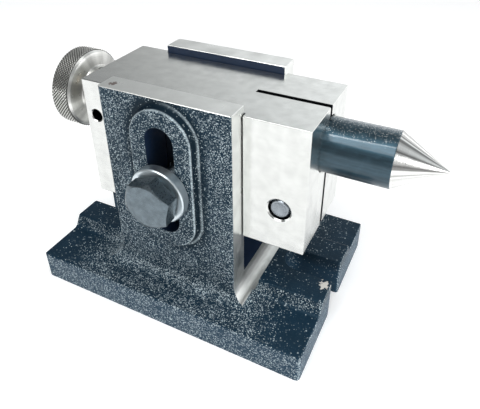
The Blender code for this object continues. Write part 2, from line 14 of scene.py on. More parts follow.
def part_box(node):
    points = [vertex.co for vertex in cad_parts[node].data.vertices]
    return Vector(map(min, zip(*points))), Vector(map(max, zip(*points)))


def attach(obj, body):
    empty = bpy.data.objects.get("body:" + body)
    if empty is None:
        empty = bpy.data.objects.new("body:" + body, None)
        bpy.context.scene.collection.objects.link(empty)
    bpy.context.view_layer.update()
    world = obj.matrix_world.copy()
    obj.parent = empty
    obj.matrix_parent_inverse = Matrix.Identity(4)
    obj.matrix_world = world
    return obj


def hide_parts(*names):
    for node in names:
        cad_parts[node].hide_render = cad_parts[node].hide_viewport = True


bl_info = {
    "name": "Adjustable tailstock",
    "version": (1, 0, 0),
    "blender": (4, 5, 0),
    "location": "3D View > Sidebar > Tailstock",
    "description": "Models the finished pieces of an adjustable tailstock and its studio",
    "category": "Add Mesh",
}

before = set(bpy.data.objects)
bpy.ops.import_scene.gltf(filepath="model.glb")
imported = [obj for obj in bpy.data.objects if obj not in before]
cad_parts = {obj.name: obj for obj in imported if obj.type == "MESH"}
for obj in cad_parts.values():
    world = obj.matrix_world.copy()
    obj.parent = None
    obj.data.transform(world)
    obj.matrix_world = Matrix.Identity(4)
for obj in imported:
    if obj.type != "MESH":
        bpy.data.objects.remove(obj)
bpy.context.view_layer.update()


def node_box(node):
    low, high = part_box(node)
    return Vector(low), Vector(high)


# ---------------------------------------------------------------- places taken from the frame
BASE_LOW, BASE_HIGH = node_box("base_casting")
BLOCK_LOW, BLOCK_HIGH = node_box("spindle_block")
CENTRE_LOW, CENTRE_HIGH = node_box("centre")
SCREW_LOW, SCREW_HIGH = node_box("feed_screw")
KNOB_LOW, KNOB_HIGH = node_box("feed_knob")
THRUST_LOW, THRUST_HIGH = node_box("feed_thrust_washer")
PIN_LOW, PIN_HIGH = node_box("knob_pin")
RETAINER_LOW, RETAINER_HIGH = node_box("feed_retaining_screw")
KEY_LOW, KEY_HIGH = node_box("centre_key_screw")
PINCH_LOW, PINCH_HIGH = node_box("pinch_screw")
BOLT_LOW, BOLT_HIGH = node_box("clamp_bolt_far")
WASHER_LOW, WASHER_HIGH = node_box("clamp_washer_far")

SPINDLE_HEIGHT = (CENTRE_LOW.z + CENTRE_HIGH.z) / 2
BOLT_HEIGHT = (WASHER_LOW.z + WASHER_HIGH.z) / 2
CENTRE_RADIUS = (CENTRE_HIGH.z - CENTRE_LOW.z) / 2
PINCH_PLACE = (PINCH_LOW + PINCH_HIGH) / 2
RETAINER_PLACE = (RETAINER_LOW + RETAINER_HIGH) / 2
KEY_PLACE = (KEY_LOW + KEY_HIGH) / 2
PIN_PLACE = (PIN_LOW + PIN_HIGH) / 2

# sizes shared by pieces that fit one another
GAP = 0.0003
FORK_END = 0.02625
CHANNEL_SIDE = 0.0175
CHEEK_FACE = 0.0265
BOSS_FACE = 0.0295
SLOT_LOW_CENTRE = 0.04525
SLOT_HIGH_CENTRE = 0.07825
CLAMP_SLOT_WIDTH = 0.0115
PLATE_TOP = 0.0125
PAD_TOP = 0.0175
CHANNEL_FLOOR = 0.020
# height on the channel walls where a dark band of painted shade began; it splits the walls' faces
SHADE_BAND_LINE = 0.0885
MILLED_FOOT = 0.0136
SCREW_RADIUS = 0.005
BORE_BOTTOM = BLOCK_LOW.x + 0.010
PINCH_SHANK = 0.004
PINCH_HEAD_DEPTH = 0.008
PIN_HOLE_RADIUS = 0.0018
THREAD_DEPTH = 0.55     # share of the pitch
BEYOND = 0.010          # how far a cutter goes past what it cuts

ALONG_X = Matrix.Rotation(math.radians(90), 4, "Y")
ALONG_MINUS_Y = Matrix.Rotation(math.radians(90), 4, "X")
ALONG_PLUS_Y = Matrix.Rotation(math.radians(-90), 4, "X")
SECTION_ALONG_X = Matrix(((0, 0, 1, 0), (1, 0, 0, 0), (0, 1, 0, 0), (0, 0, 0, 1)))
UP = Matrix.Identity(4)


# ---------------------------------------------------------------- settings
class TailstockCasting(bpy.types.PropertyGroup):
    edge_round: FloatProperty(
        name="Edge round", description="Radius of the casting's outer edges", default=0.0009, unit="LENGTH"
    )
    corner_round: FloatProperty(
        name="Corner round", description="Radius of the base's upright corners", default=0.0016, unit="LENGTH"
    )
    side_fillet: FloatProperty(
        name="Side fillet", description="Fillet along the cheeks' feet", default=0.006, unit="LENGTH"
    )
    back_fillet: FloatProperty(
        name="Back fillet", description="Fillet at the knob end of the fork", default=0.009, unit="LENGTH"
    )
    front_fillet: FloatProperty(
        name="Front fillet", description="Milled fillet at the nose end of the fork",
        default=0.006, unit="LENGTH"
    )
    boss_radius: FloatProperty(
        name="Boss radius", description="Half width of the boss round each clamp slot", default=0.0123,
        unit="LENGTH",
    )
    edge_break: FloatProperty(
        name="Edge break", description="Size of the machined edges' chamfers", default=0.00016, unit="LENGTH"
    )


class TailstockSteel(bpy.types.PropertyGroup):
    edge_break: FloatProperty(
        name="Edge break", description="Rounding of the block's ground edges", default=0.00035, unit="LENGTH"
    )
    slit_width: FloatProperty(
        name="Slit width", description="Width of the slit in the block's nose", default=0.0022, unit="LENGTH"
    )
    slit_length: FloatProperty(
        name="Slit length", description="Length of the slit from the nose's face", default=0.0275, unit="LENGTH"
    )
    keyway_width: FloatProperty(
        name="Keyway width", description="Width of the centre's keyway", default=0.005, unit="LENGTH"
    )
    keyway_depth: FloatProperty(
        name="Keyway depth", description="Depth of the centre's keyway", default=0.0016, unit="LENGTH"
    )
    head_flats: FloatProperty(
        name="Head flats", description="Clamp bolt head, across its flats", default=0.017, unit="LENGTH"
    )
    head_turn: FloatProperty(
        name="Head turn", description="How far round the clamp bolts' heads stand", default=math.radians(19.5),
        unit="ROTATION",
    )
    thread_pitch: FloatProperty(
        name="Thread pitch", description="Pitch of the clamp bolts' and feed screw's threads", default=0.0015,
        unit="LENGTH",
    )


class TailstockKnurl(bpy.types.PropertyGroup):
    teeth: IntProperty(name="Teeth", description="Diamonds round the knob's rim", default=76, min=12)
    depth: FloatProperty(name="Depth", description="Depth of the knurl", default=0.00048, unit="LENGTH")
    groove: FloatProperty(
        name="Groove", description="Share of a diamond that its grooves take", default=0.36, subtype="FACTOR"
    )


class TailstockFinish(bpy.types.PropertyGroup):
    paint: FloatVectorProperty(
        name="Paint", description="Colour of the casting's paint",
        default=(0.0060, 0.0225, 0.042), subtype="COLOR"
    )
    # pale specks of the paint, also used as painted glints
    speck_and_glint: FloatVectorProperty(
        name="Paint speck", description="Colour of the light specks in the paint", default=(0.56, 0.66, 0.70),
        subtype="COLOR",
    )
    # darker paint that stands for the shade in the slots and the channel
    channel_shade_paint: FloatVectorProperty(
        name="Channel paint", description="Colour of the paint in the slots and the channel",
        default=(0.0045, 0.018, 0.050), subtype="COLOR",
    )
    ground_steel: FloatVectorProperty(
        name="Ground steel", description="Colour of ground and milled steel", default=(0.76, 0.77, 0.75),
        subtype="COLOR",
    )
    blued_steel: FloatVectorProperty(
        name="Blued steel", description="Colour of the centre's blued shank", default=(0.035, 0.070, 0.094),
        subtype="COLOR",
    )
    bright_steel: FloatVectorProperty(
        name="Bright steel", description="Colour of turned bright steel", default=(0.78, 0.78, 0.75),
        subtype="COLOR",
    )
    bolt_steel: FloatVectorProperty(
        name="Bolt steel", description="Colour of the clamp bolts",
        default=(0.150, 0.186, 0.210), subtype="COLOR"
    )
    washer_steel: FloatVectorProperty(
        name="Washer steel", description="Colour of the clamp washers",
        default=(0.72, 0.80, 0.84), subtype="COLOR"
    )
    bronze: FloatVectorProperty(
        name="Bronze", description="Colour of the thrust washer", default=(0.44, 0.35, 0.24), subtype="COLOR"
    )


class TailstockStudio(bpy.types.PropertyGroup):
    floor_colour: FloatVectorProperty(
        name="Floor", description="Colour of the floor", default=(0.93, 0.93, 0.93), subtype="COLOR"
    )
    floor_glow: FloatProperty(
        name="Floor glow", description="How strongly the floor's light table shines", default=0.27
    )
    sky_low: FloatProperty(name="Low sky", description="Brightness near the horizon", default=1.42)
    sky_high: FloatProperty(name="High sky", description="Brightness overhead", default=0.35)
    front_power: FloatProperty(
        name="Front light", description="Power of the front softbox", default=6.0, unit="POWER"
    )
    top_power: FloatProperty(
        name="Top light", description="Power of the overhead strip", default=2.0, unit="POWER"
    )
    nose_power: FloatProperty(
        name="Nose light", description="Power of the softbox facing the centre's point",
        default=2.5, unit="POWER"
    )


# ---------------------------------------------------------------- outlines
def rounded(corners, steps=6):
    """Outline through (x, y, radius) corners, each turned into an arc that touches both its sides."""
    outline = []
    for index, (x, y, radius) in enumerate(corners):
        if radius == 0:
            outline.append((x, y))
            continue
        corner = Vector((x, y))
        before = (Vector(corners[index - 1][:2]) - corner).normalized()
        after = (Vector(corners[(index + 1) % len(corners)][:2]) - corner).normalized()
        half = before.angle(after) / 2
        middle = corner + (before + after).normalized() * (radius / math.sin(half))
        start = corner + before * (radius / math.tan(half)) - middle
        end = corner + after * (radius / math.tan(half)) - middle
        first = math.atan2(start.y, start.x)
        sweep = math.remainder(math.atan2(end.y, end.x) - first, 2 * math.pi)
        for step in range(steps + 1):
            angle = first + sweep * step / steps
            outline.append((middle.x + radius * math.cos(angle), middle.y + radius * math.sin(angle)))
    return outline


def rounded_box_outline(low_x, high_x, low_y, high_y, low_radius, high_radius, steps=6):
    """Rectangle whose two corners at low x have one radius and the two at high x another."""
    corners = [
        (low_x, low_y, low_radius), (high_x, low_y, high_radius),
        (high_x, high_y, high_radius), (low_x, high_y, low_radius),
    ]
    return rounded(corners, steps)


def round_ended(low, high, radius, steps=24):
    """Upright outline with half circles about x = 0 at the heights low and high."""
    top = [math.pi * step / steps for step in range(steps + 1)]
    points = [(radius * math.cos(a), high + radius * math.sin(a)) for a in top]
    return points + [(-radius * math.cos(a), low - radius * math.sin(a)) for a in top]


def fillet_offset(rise, radius):
    """How far a concave fillet stands out from its wall at a height above its foot."""
    if rise >= radius:
        return 0.0
    return radius - math.sqrt(radius ** 2 - (radius - rise) ** 2)


# ---------------------------------------------------------------- shapes
def new_object(name, bm, placing=UP):
    bmesh.ops.recalc_face_normals(bm, faces=bm.faces)
    mesh = bpy.data.meshes.new(name)
    bm.to_mesh(mesh)
    bm.free()
    obj = bpy.data.objects.new(name, mesh)
    bpy.context.scene.collection.objects.link(obj)
    obj.matrix_world = placing
    return obj


def lofted(name, rings, placing=UP):
    """Closed body through rings of as many points each."""
    bm = bmesh.new()
    loops = [[bm.verts.new(point) for point in ring] for ring in rings]
    count = len(loops[0])
    for lower, upper in zip(loops, loops[1:]):
        for index in range(count):
            after = (index + 1) % count
            bm.faces.new((lower[index], lower[after], upper[after], upper[index]))
    bm.faces.new(loops[0])
    bm.faces.new(loops[-1])
    return new_object(name, bm, placing)


def slab(name, outline, low, high, edge=0.0, placing=UP, edge_steps=3):
    """A flat outline given a thickness from low to high, with its edges rounded by a curve's bevel."""
    curve = bpy.data.curves.new(name, "CURVE")
    curve.dimensions = "2D"
    curve.fill_mode = "BOTH"
    curve.extrude = (high - low) / 2 - edge
    curve.bevel_depth = edge
    curve.bevel_resolution = edge_steps
    curve.offset = -edge
    spline = curve.splines.new("POLY")
    spline.points.add(len(outline) - 1)
    for point, (x, y) in zip(spline.points, outline):
        point.co = (x, y, 0, 1)
    spline.use_cyclic_u = True
    drawn = bpy.data.objects.new(name, curve)
    bpy.context.scene.collection.objects.link(drawn)
    mesh = bpy.data.meshes.new_from_object(drawn.evaluated_get(bpy.context.evaluated_depsgraph_get()))
    bpy.data.objects.remove(drawn, do_unlink=True)
    bm = bmesh.new()
    bm.from_mesh(mesh)
    bpy.data.meshes.remove(mesh)
    bmesh.ops.remove_doubles(bm, verts=bm.verts, dist=0.000002)
    bmesh.ops.translate(bm, verts=bm.verts, vec=(0, 0, (low + high) / 2))
    return new_object(name, bm, placing)


def turned(name, outline, start, direction, steps=96):
    """Revolve an outline of (radius, height) points, running down the outside, about its height axis."""
    bm = bmesh.new()
    points = [bm.verts.new((radius, 0, height)) for radius, height in outline]
    for first, second in zip(points, points[1:]):
        bm.edges.new((first, second))
    if outline[0][0] > 0:
        bm.edges.new((points[-1], points[0]))
    obj = new_object(name, bm, Matrix.Translation(start) @ direction)
    screw = obj.modifiers.new("turn", "SCREW")
    screw.steps = steps
    screw.render_steps = steps
    screw.use_merge_vertices = True
    screw.merge_threshold = 0.000002
    return obj


def drilled(radius, mouth, depth, countersink=0.0):
    """Cutter outline for a hole: mouth is its height, depth how far below that it goes."""
    return [
        (0, mouth + BEYOND), (radius + countersink + BEYOND, mouth + BEYOND), (radius + countersink, mouth),
        (radius, mouth - countersink), (radius, mouth - depth), (0, mouth - depth),
    ]


def hexagon(name, flats, start, length, direction, turn=0.0, corner_round=0.0):
    reach = flats / math.sqrt(3)
    angles = [math.radians(60 * side) for side in range(6)]
    corners = [(reach * math.cos(a), reach * math.sin(a), corner_round) for a in angles]
    placing = Matrix.Translation(start) @ direction @ Matrix.Rotation(turn, 4, "Z")
    return slab(name, rounded(corners, 3), 0, length, placing=placing)


def combine(obj, operation, others):
    for number, other in enumerate(others):
        boolean = obj.modifiers.new(f"{operation.lower()} {number}", "BOOLEAN")
        boolean.operation = operation
        boolean.solver = "EXACT"
        boolean.object = other


def smooth_up_to(mesh, angle):
    mesh.shade_smooth()
    mesh.set_sharp_from_angle(angle=math.radians(angle))


def settle(obj, *cutters, smooth_angle=35):
    """Apply an object's modifiers, drop its cutters and shade it smooth up to an angle."""
    bpy.context.view_layer.update()
    mesh = bpy.data.meshes.new_from_object(obj.evaluated_get(bpy.context.evaluated_depsgraph_get()))
    obj.modifiers.clear()
    old = obj.data
    obj.data = mesh
    bpy.data.meshes.remove(old)
    for cutter in cutters:
        bpy.data.objects.remove(cutter, do_unlink=True)
    if len(mesh.polygons) == 0:
        raise RuntimeError(f"{obj.name} came out empty")
    smooth_up_to(mesh, smooth_angle)
    weighted = obj.modifiers.new("even shading", "WEIGHTED_NORMAL")
    weighted.keep_sharp = True
    weighted.weight = 80
    return obj


def squared(obj):
    """Bake an object's placing into its mesh, so that its material runs along the frame's axes."""
    obj.data.transform(obj.matrix_world)
    obj.matrix_world = UP


def worn_edges(obj, width, low_angle, high_angle):
    """Round off the edges whose faces meet at an angle between the two given, in degrees."""
    bm = bmesh.new()
    bm.from_mesh(obj.data)
    low, high = math.radians(low_angle), math.radians(high_angle)
    edges = [
        edge for edge in bm.edges if len(edge.link_faces) == 2 and low < edge.calc_face_angle(0) < high
    ]
    bmesh.ops.bevel(bm, geom=edges, offset=width, segments=2, profile=0.5, affect="EDGES", clamp_overlap=True)
    bm.to_mesh(obj.data)
    bm.free()


def merge(obj, other, sharp_angle):
    """Move another object's mesh into obj, as loose shells of one piece, smooth up to an angle."""
    bm = bmesh.new()
    bm.from_mesh(obj.data)
    mesh = other.data.copy()
    mesh.transform(obj.matrix_world.inverted() @ other.matrix_world)
    bm.from_mesh(mesh)
    bpy.data.meshes.remove(mesh)
    bpy.data.objects.remove(other, do_unlink=True)
    bm.to_mesh(obj.data)
    bm.free()
    smooth_up_to(obj.data, sharp_angle)


def thread(name, radius, pitch, low, high, start, direction, left_handed=False, steps=32):
    """A screw thread's crests and roots as one closed helical shell round the height axis."""
    depth = pitch * THREAD_DEPTH
    turns = (high - low) / pitch
    count = round(turns * steps)
    profile = ((-0.50, depth), (-0.08, 0.0), (0.08, 0.0), (0.50, depth))
    rings = []
    for step in range(count + 1):
        share = step / count
        angle = 2 * math.pi * turns * share * (-1 if left_handed else 1)
        fade = min(1.0, share * turns, (1 - share) * turns)
        height = low + (high - low) * share
        ring = []
        for offset, below in profile:
            out = radius - depth + (depth - below) * fade
            ring.append((out * math.cos(angle), out * math.sin(angle), height + offset * pitch))
        inner = radius - depth * 1.3
        for offset in (0.45, -0.45):
            ring.append((inner * math.cos(angle), inner * math.sin(angle), height + offset * pitch))
        rings.append(ring)
    return lofted(name, rings, Matrix.Translation(start) @ direction)


def stand_in_for(obj, node, body, slot, *materials):
    """Give a finished piece its materials, and let it take its CAD node's place."""
    for made in materials:
        obj.data.materials.append(made)
    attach(obj, body)
    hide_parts(node)


def paint_faces(obj, slot_index, wanted):
    """Give the faces for which wanted(centre, normal) holds, in world space, another material slot."""
    place = obj.matrix_world
    turn = place.to_3x3()
    for face in obj.data.polygons:
        if wanted(place @ face.center, turn @ face.normal):
            face.material_index = slot_index


# ---------------------------------------------------------------- material nodes
def add(tree, kind, inputs=None, **settings):
    node = tree.nodes.new("ShaderNode" + kind)
    for key, value in settings.items():
        setattr(node, key, value)
    for key, value in (inputs or {}).items():
        if isinstance(value, bpy.types.NodeSocket):
            tree.links.new(value, node.inputs[key])
        else:
            node.inputs[key].default_value = value
    return node


def calculate(tree, operation, first, second=0.0, clamp=False):
    return add(tree, "Math", {0: first, 1: second}, operation=operation, use_clamp=clamp).outputs[0]


def product(tree, first, *others):
    for other in others:
        first = calculate(tree, "MULTIPLY", first, other)
    return first


def total(tree, first, *others):
    for other in others:
        first = calculate(tree, "ADD", first, other)
    return first


def size_of(tree, value):
    return calculate(tree, "ABSOLUTE", value)


def rest_of(tree, share):
    return calculate(tree, "SUBTRACT", 1.0, share)


def between(tree, value, low, high, to_low=0.0, to_high=1.0):
    """Map a value from one range to another, held to the ends of the second."""
    inputs = {"Value": value, "From Min": low, "From Max": high, "To Min": to_low, "To Max": to_high}
    return add(tree, "MapRange", inputs).outputs[0]


def mixed(tree, factor, first, second):
    """Blend of two colours, by the numbers of the colour sockets of a Mix node."""
    return add(tree, "Mix", {0: factor, 6: first, 7: second}, data_type="RGBA").outputs[2]


def coordinates(tree):
    return add(tree, "TexCoord").outputs["Object"]


def split(tree, vector):
    parts = add(tree, "SeparateXYZ", {0: vector}).outputs
    return parts["X"], parts["Y"], parts["Z"]


def length_of(tree, vector):
    return add(tree, "VectorMath", {0: vector}, operation="LENGTH").outputs["Value"]


def from_height_axis(tree, where):
    """The part of a place that is square to the height axis, and its length."""
    x, y, _ = split(tree, where)
    flat = add(tree, "CombineXYZ", {0: x, 1: y}).outputs[0]
    return flat, length_of(tree, flat)


def stretched(tree, vector, scale):
    return add(tree, "Mapping", {"Vector": vector, "Scale": scale}).outputs["Vector"]


def noise(tree, vector, scale, detail=2.0, roughness=0.5):
    inputs = {"Vector": vector, "Scale": scale, "Detail": detail, "Roughness": roughness}
    return add(tree, "TexNoise", inputs).outputs["Fac"]


def cells(tree, vector, scale):
    """Distance from the nearest of many scattered points, and that point's three random numbers."""
    node = add(tree, "TexVoronoi", {"Vector": vector, "Scale": scale})
    return node.outputs["Distance"], add(tree, "SeparateColor", {0: node.outputs["Color"]}).outputs


def near_point(tree, vector, point, radius):
    """1 at a point, falling to 0 at a radius from it."""
    distance = add(tree, "VectorMath", {0: vector, 1: point}, operation="DISTANCE").outputs["Value"]
    return between(tree, distance, radius, 0.0)


def bumped(tree, height, distance, strength=1.0):
    inputs = {"Height": height, "Distance": distance, "Strength": strength}
    return add(tree, "Bump", inputs).outputs["Normal"]


def colour4(colour, share=1.0):
    return (colour[0] * share, colour[1] * share, colour[2] * share, 1.0)


def finish_sockets(made, colour, roughness, normal, **uniform):
    shader = made.node_tree.nodes["Principled BSDF"]
    tree = made.node_tree
    for key, value in (("Base Color", colour), ("Roughness", roughness), ("Normal", normal)):
        tree.links.new(value, shader.inputs[key])
    for key, value in uniform.items():
        shader.inputs[key.replace("_", " ")].default_value = value
    return made


def new_material(name):
    made = bpy.data.materials.new(name)
    made.use_nodes = True
    return made, made.node_tree


def cast_paint(colours, boss_radius):
    """Dark paint over rough cast iron: dense pale grains on upright faces and round edges, few on the tops; the
    extra grains on upright faces and edges are painted glints and sheen.

    Round each boss, pale lines along the crown and the foot are painted highlights, and a dark band just
    outside the boss's edge is painted shadow.
    """
    made, tree = new_material("speckled_cast_paint")
    where = coordinates(tree)
    x, y, z = split(tree, where)
    along, out = size_of(tree, x), size_of(tree, y)
    sideways, _, upward = split(tree, add(tree, "TexCoord").outputs["Normal"])
    cloud = noise(tree, where, 130, 3)

    # how thickly the grains lie, by which way the surface faces and how far it is from the fork; the extra
    # grains on upright faces, round edges and edges turned towards the ends are painted sheen and glints
    upright = between(tree, upward, 0.97, 0.30)
    round_edge = product(tree, upright, rest_of(tree, upright))
    # edges rounding towards the ends get a painted highlight line
    end_on = product(tree, sideways, sideways)
    corner = product(tree, end_on, rest_of(tree, end_on))
    by_the_fork = between(tree, along, 0.056, 0.036)
    below_pads = between(tree, z, 0.0160, 0.0172, 1.0, 0.30)
    walls = between(tree, upright, 0, 1, 0.0, 0.90)
    level = calculate(tree, "MAXIMUM", walls, product(tree, by_the_fork, below_pads, 0.84))
    level = total(
        tree, level, product(tree, corner, 1.2), round_edge, between(tree, cloud, 0.3, 0.7, -0.12, 0.12)
    )

    # painted highlights and painted shadow round the bosses, by the distance outside a boss's edge
    in_slots_height = between(tree, z, SLOT_LOW_CENTRE, SLOT_HIGH_CENTRE, SLOT_LOW_CENTRE, SLOT_HIGH_CENTRE)
    past_ends = calculate(tree, "SUBTRACT", z, in_slots_height)
    from_slot = length_of(tree, add(tree, "CombineXYZ", {0: x, 1: past_ends}).outputs[0])
    outside = calculate(tree, "SUBTRACT", from_slot, boss_radius)
    on_cheek = product(
        tree, between(tree, out, CHEEK_FACE - 0.0010, CHEEK_FACE - 0.0002), between(tree, z, 0.024, 0.036)
    )
    crown = product(
        tree, between(tree, size_of(tree, total(tree, outside, 0.0001)), 0.0005, 0.0001),
        between(tree, out, BOSS_FACE - 0.0009, BOSS_FACE - 0.0004),
    )
    from_foot = size_of(tree, calculate(tree, "SUBTRACT", outside, 0.0014))
    foot = product(tree, between(tree, from_foot, 0.0007, 0.0001), between(tree, x, -0.002, 0.007))
    # pale lines along each boss's crown and, on the nose side, its foot: painted highlights
    boss_painted_highlight = product(tree, calculate(tree, "MAXIMUM", crown, product(tree, foot, 0.8)), on_cheek)
    # dark band just outside each boss's edge: painted shadow
    boss_painted_shadow = product(
        tree, between(tree, outside, -0.0003, 0.0001), between(tree, outside, 0.0050, 0.0014),
        between(tree, out, BOSS_FACE - 0.0003, BOSS_FACE - 0.0009), on_cheek, rest_of(tree, foot),
    )
    # fewer grains inside the table slots: painted shade
    table_slot_shade = product(tree, between(tree, out, 0.0061, 0.0058), between(tree, along, 0.034, 0.036))
    # painted highlights add grains round the bosses; painted shadow and the table slots' painted shade take
    # grains away
    level = total(tree, level, product(tree, boss_painted_highlight, 0.35))
    level = calculate(tree, "SUBTRACT", level, product(tree, boss_painted_shadow, 0.80))
    level = calculate(tree, "SUBTRACT", level, product(tree, table_slot_shade, 0.8))

    # fine grains, rarer where the level is low, and a few coarse flecks
    rarity = product(tree, calculate(tree, "POWER", 32.0, rest_of(tree, level)), 2.6)
    grain_distance, grain_random = cells(tree, where, 2650)
    grain = calculate(tree, "POWER", grain_random[0], rarity)
    grain = product(tree, grain, between(tree, grain_distance, 0.66, 0.28))
    fleck_distance, fleck_random = cells(tree, where, 900)
    fleck = calculate(tree, "POWER", fleck_random[1], 30.0)
    fleck = product(tree, fleck, between(tree, fleck_distance, 0.42, 0.22))
    bright_grain = calculate(tree, "MULTIPLY", grain, 1.7, clamp=True)
    speck = calculate(tree, "MAXIMUM", bright_grain, product(tree, fleck, 0.7))

    # the pale grains are the paint's own specks and painted glints
    paint, pale = colours.paint, colour4(colours.speck_and_glint)
    body = mixed(tree, cloud, colour4(paint, 0.65), colour4(paint, 1.2))
    # upright faces low down are made lighter: painted light bounced up from the floor
    painted_floor_light = product(tree, upright, between(tree, z, 0.0150, 0.0105))
    body = mixed(tree, painted_floor_light, body, colour4(paint, 1.7))
    # the painted shadow round the bosses also darkens the paint's body
    body = mixed(tree, product(tree, boss_painted_shadow, 0.8), body, colour4(paint, 0.3))
    shade = mixed(tree, speck, body, pale)
    # the painted highlights along the bosses' crowns and feet
    shade = mixed(tree, product(tree, boss_painted_highlight, between(tree, cloud, 0.35, 0.65, 0.15, 0.60)), shade, pale)
    chip = near_point(tree, where, (0.0565, -0.0085, 0.0172), 0.0034)
    chip = total(tree, chip, between(tree, noise(tree, where, 900, 3), 0.35, 0.65, -0.3, 0.3))
    shade = mixed(tree, between(tree, chip, 0.42, 0.50), shade, (0.62, 0.60, 0.56, 1))

    lumps = noise(tree, where, 900, 4, 0.6)
    height = total(tree, lumps, product(tree, speck, 0.5))
    roughness = between(tree, lumps, 0.3, 0.7, 0.36, 0.56)
    shader = made.node_tree.nodes["Principled BSDF"]
    shader.inputs["Specular Tint"].default_value = (0.60, 0.86, 1.0, 1)
    return finish_sockets(made, shade, roughness, bumped(tree, height, 0.0002, 0.8), Specular_IOR_Level=0.18)


def milled_iron(colours):
    """Bare milled faces of the casting: faint cutter lines, dull patches and one old stain."""
    made, tree = new_material("milled_cast_iron")
    where = coordinates(tree)
    lines = noise(tree, stretched(tree, where, (1, 0.06, 0.25)), 2600, 2)
    patches = noise(tree, where, 130, 4)
    steel = colours.ground_steel
    shade = mixed(tree, between(tree, patches, 0.35, 0.75), colour4(steel, 1.15), colour4(steel, 0.95))
    stain = near_point(tree, where, (-0.0220, -0.0226, 0.0930), 0.0024)
    stain = total(tree, stain, between(tree, noise(tree, where, 1100, 3), 0.3, 0.7, -0.35, 0.35))
    shade = mixed(tree, between(tree, stain, 0.38, 0.60, 0, 0.8), shade, (0.16, 0.09, 0.07, 1))
    roughness = between(tree, patches, 0.3, 0.7, 0.26, 0.42)
    return finish_sockets(made, shade, roughness, bumped(tree, lines, 0.00002, 0.5), Metallic=1.0)


def ground_steel(colours):
    """Surface-ground block: lengthwise grinding lines and faint mottling."""
    made, tree = new_material("ground_block_steel")
    where = coordinates(tree)
    lines = noise(tree, stretched(tree, where, (0.05, 1, 1)), 3800, 2)
    patches = noise(tree, where, 210, 4)
    steel = colours.ground_steel
    shade = mixed(tree, between(tree, patches, 0.3, 0.75), colour4(steel), colour4(steel, 0.86))
    shade = mixed(tree, between(tree, lines, 0.45, 0.75, 0, 0.12), shade, colour4(steel, 0.5))
    roughness = between(tree, patches, 0.3, 0.7, 0.17, 0.27)
    return finish_sockets(made, shade, roughness, bumped(tree, lines, 0.000012, 0.5), Metallic=1.0)


def unlit_paint(colours):
    """Smooth dark paint without grains on the clamp slots and the fork's channel, as painted shade in them."""
    made, tree = new_material("channel_shade_paint")
    lumps = noise(tree, coordinates(tree), 700, 3)
    paint = colours.channel_shade_paint
    shade = mixed(tree, lumps, colour4(paint, 0.7), colour4(paint, 1.3))
    roughness = between(tree, lumps, 0.3, 0.7, 0.4, 0.6)
    return finish_sockets(made, shade, roughness, bumped(tree, lumps, 0.00006, 0.5))


def bore_steel(name):
    """Dark, oily metal of bores and of narrow faces that grinding never reached; on the block's slit walls it
    is painted shade.
    """
    made, tree = new_material(name)
    where = coordinates(tree)
    rings = noise(tree, stretched(tree, where, (1, 0.08, 0.08)), 2400, 2)
    shade = mixed(tree, rings, (0.020, 0.026, 0.034, 1), (0.050, 0.058, 0.068, 1))
    roughness = between(tree, rings, 0.3, 0.7, 0.3, 0.5)
    return finish_sockets(made, shade, roughness, bumped(tree, rings, 0.00002, 0.6), Metallic=1.0)


def turned_steel(name, colour, low_roughness, high_roughness, ring_depth=0.00002, anisotropy=0.0, streaks=0.0,
                 ray_count=6.0, dark_reflection_side=False):
    """Turned metal: fine rings round the height axis of the piece, and dark streaks out from that axis that are
    painted reflections.

    A side picked for dark reflection keeps most of its streaks on the side of negative X, the top of a piece
    laid along the spindle: painted reflection of the darker sky.
    """
    made, tree = new_material(name)
    where = coordinates(tree)
    flat, radius = from_height_axis(tree, where)
    along = add(tree, "CombineXYZ", {0: radius, 1: split(tree, where)[2]}).outputs[0]
    rings = noise(tree, along, 5200, 2)
    patches = noise(tree, where, 260, 3)
    shade = mixed(tree, between(tree, rings, 0.3, 0.7), colour4(colour, 0.84), colour4(colour))
    shade = mixed(tree, between(tree, patches, 0.45, 0.8, 0, 0.3), shade, colour4(colour, 0.6))
    # dark rays out from the axis: painted reflections
    if streaks:
        way_out = add(tree, "VectorMath", {0: flat}, operation="NORMALIZE").outputs[0]
        rays = noise(tree, way_out, ray_count, 2, 0.5)
        dark = between(tree, rays, 0.60, 0.40, 0.0, streaks)
        # most rays kept on the upper side: painted reflection of the darker sky
        if dark_reflection_side:
            sideways = split(tree, way_out)[0]
            dark = product(tree, dark, between(tree, sideways, 0.30, -0.15, 0.15, 1.0))
        shade = mixed(tree, dark, shade, colour4(colour, 0.14))
    roughness = between(tree, patches, 0.3, 0.7, low_roughness, high_roughness)
    normal = bumped(tree, rings, ring_depth, 0.6)
    return finish_sockets(made, shade, roughness, normal, Metallic=1.0, Anisotropic=anisotropy)


def blued_steel(colours):
    """Blue-black finish with rubbed streaks along the shank and pale dust on top of it."""
    made, tree = new_material("blued_centre_steel")
    where = coordinates(tree)
    streaks = noise(tree, stretched(tree, where, (1, 1, 0.10)), 900, 4, 0.6)
    clouds = noise(tree, where, 330, 4)
    steel = colours.blued_steel
    shade = mixed(tree, between(tree, streaks, 0.35, 0.75), colour4(steel, 0.8), colour4(steel, 1.3))
    shade = mixed(tree, between(tree, clouds, 0.5, 0.8, 0, 0.4), shade, colour4(steel, 1.7))
    _, grain_random = cells(tree, where, 4200)
    upper = between(tree, split(tree, where)[0], -0.0099, -0.0070, 0.14, 0.0)
    dust = between(tree, calculate(tree, "SUBTRACT", upper, grain_random[0]), 0.0, 0.05, 0, 0.7)
    shade = mixed(tree, dust, shade, (0.55, 0.58, 0.58, 1))
    roughness = between(tree, clouds, 0.3, 0.7, 0.32, 0.46)
    normal = bumped(tree, streaks, 0.00003, 0.5)
    return finish_sockets(made, shade, roughness, normal, Metallic=1.0, Coat_Weight=0.6, Coat_Roughness=0.07)


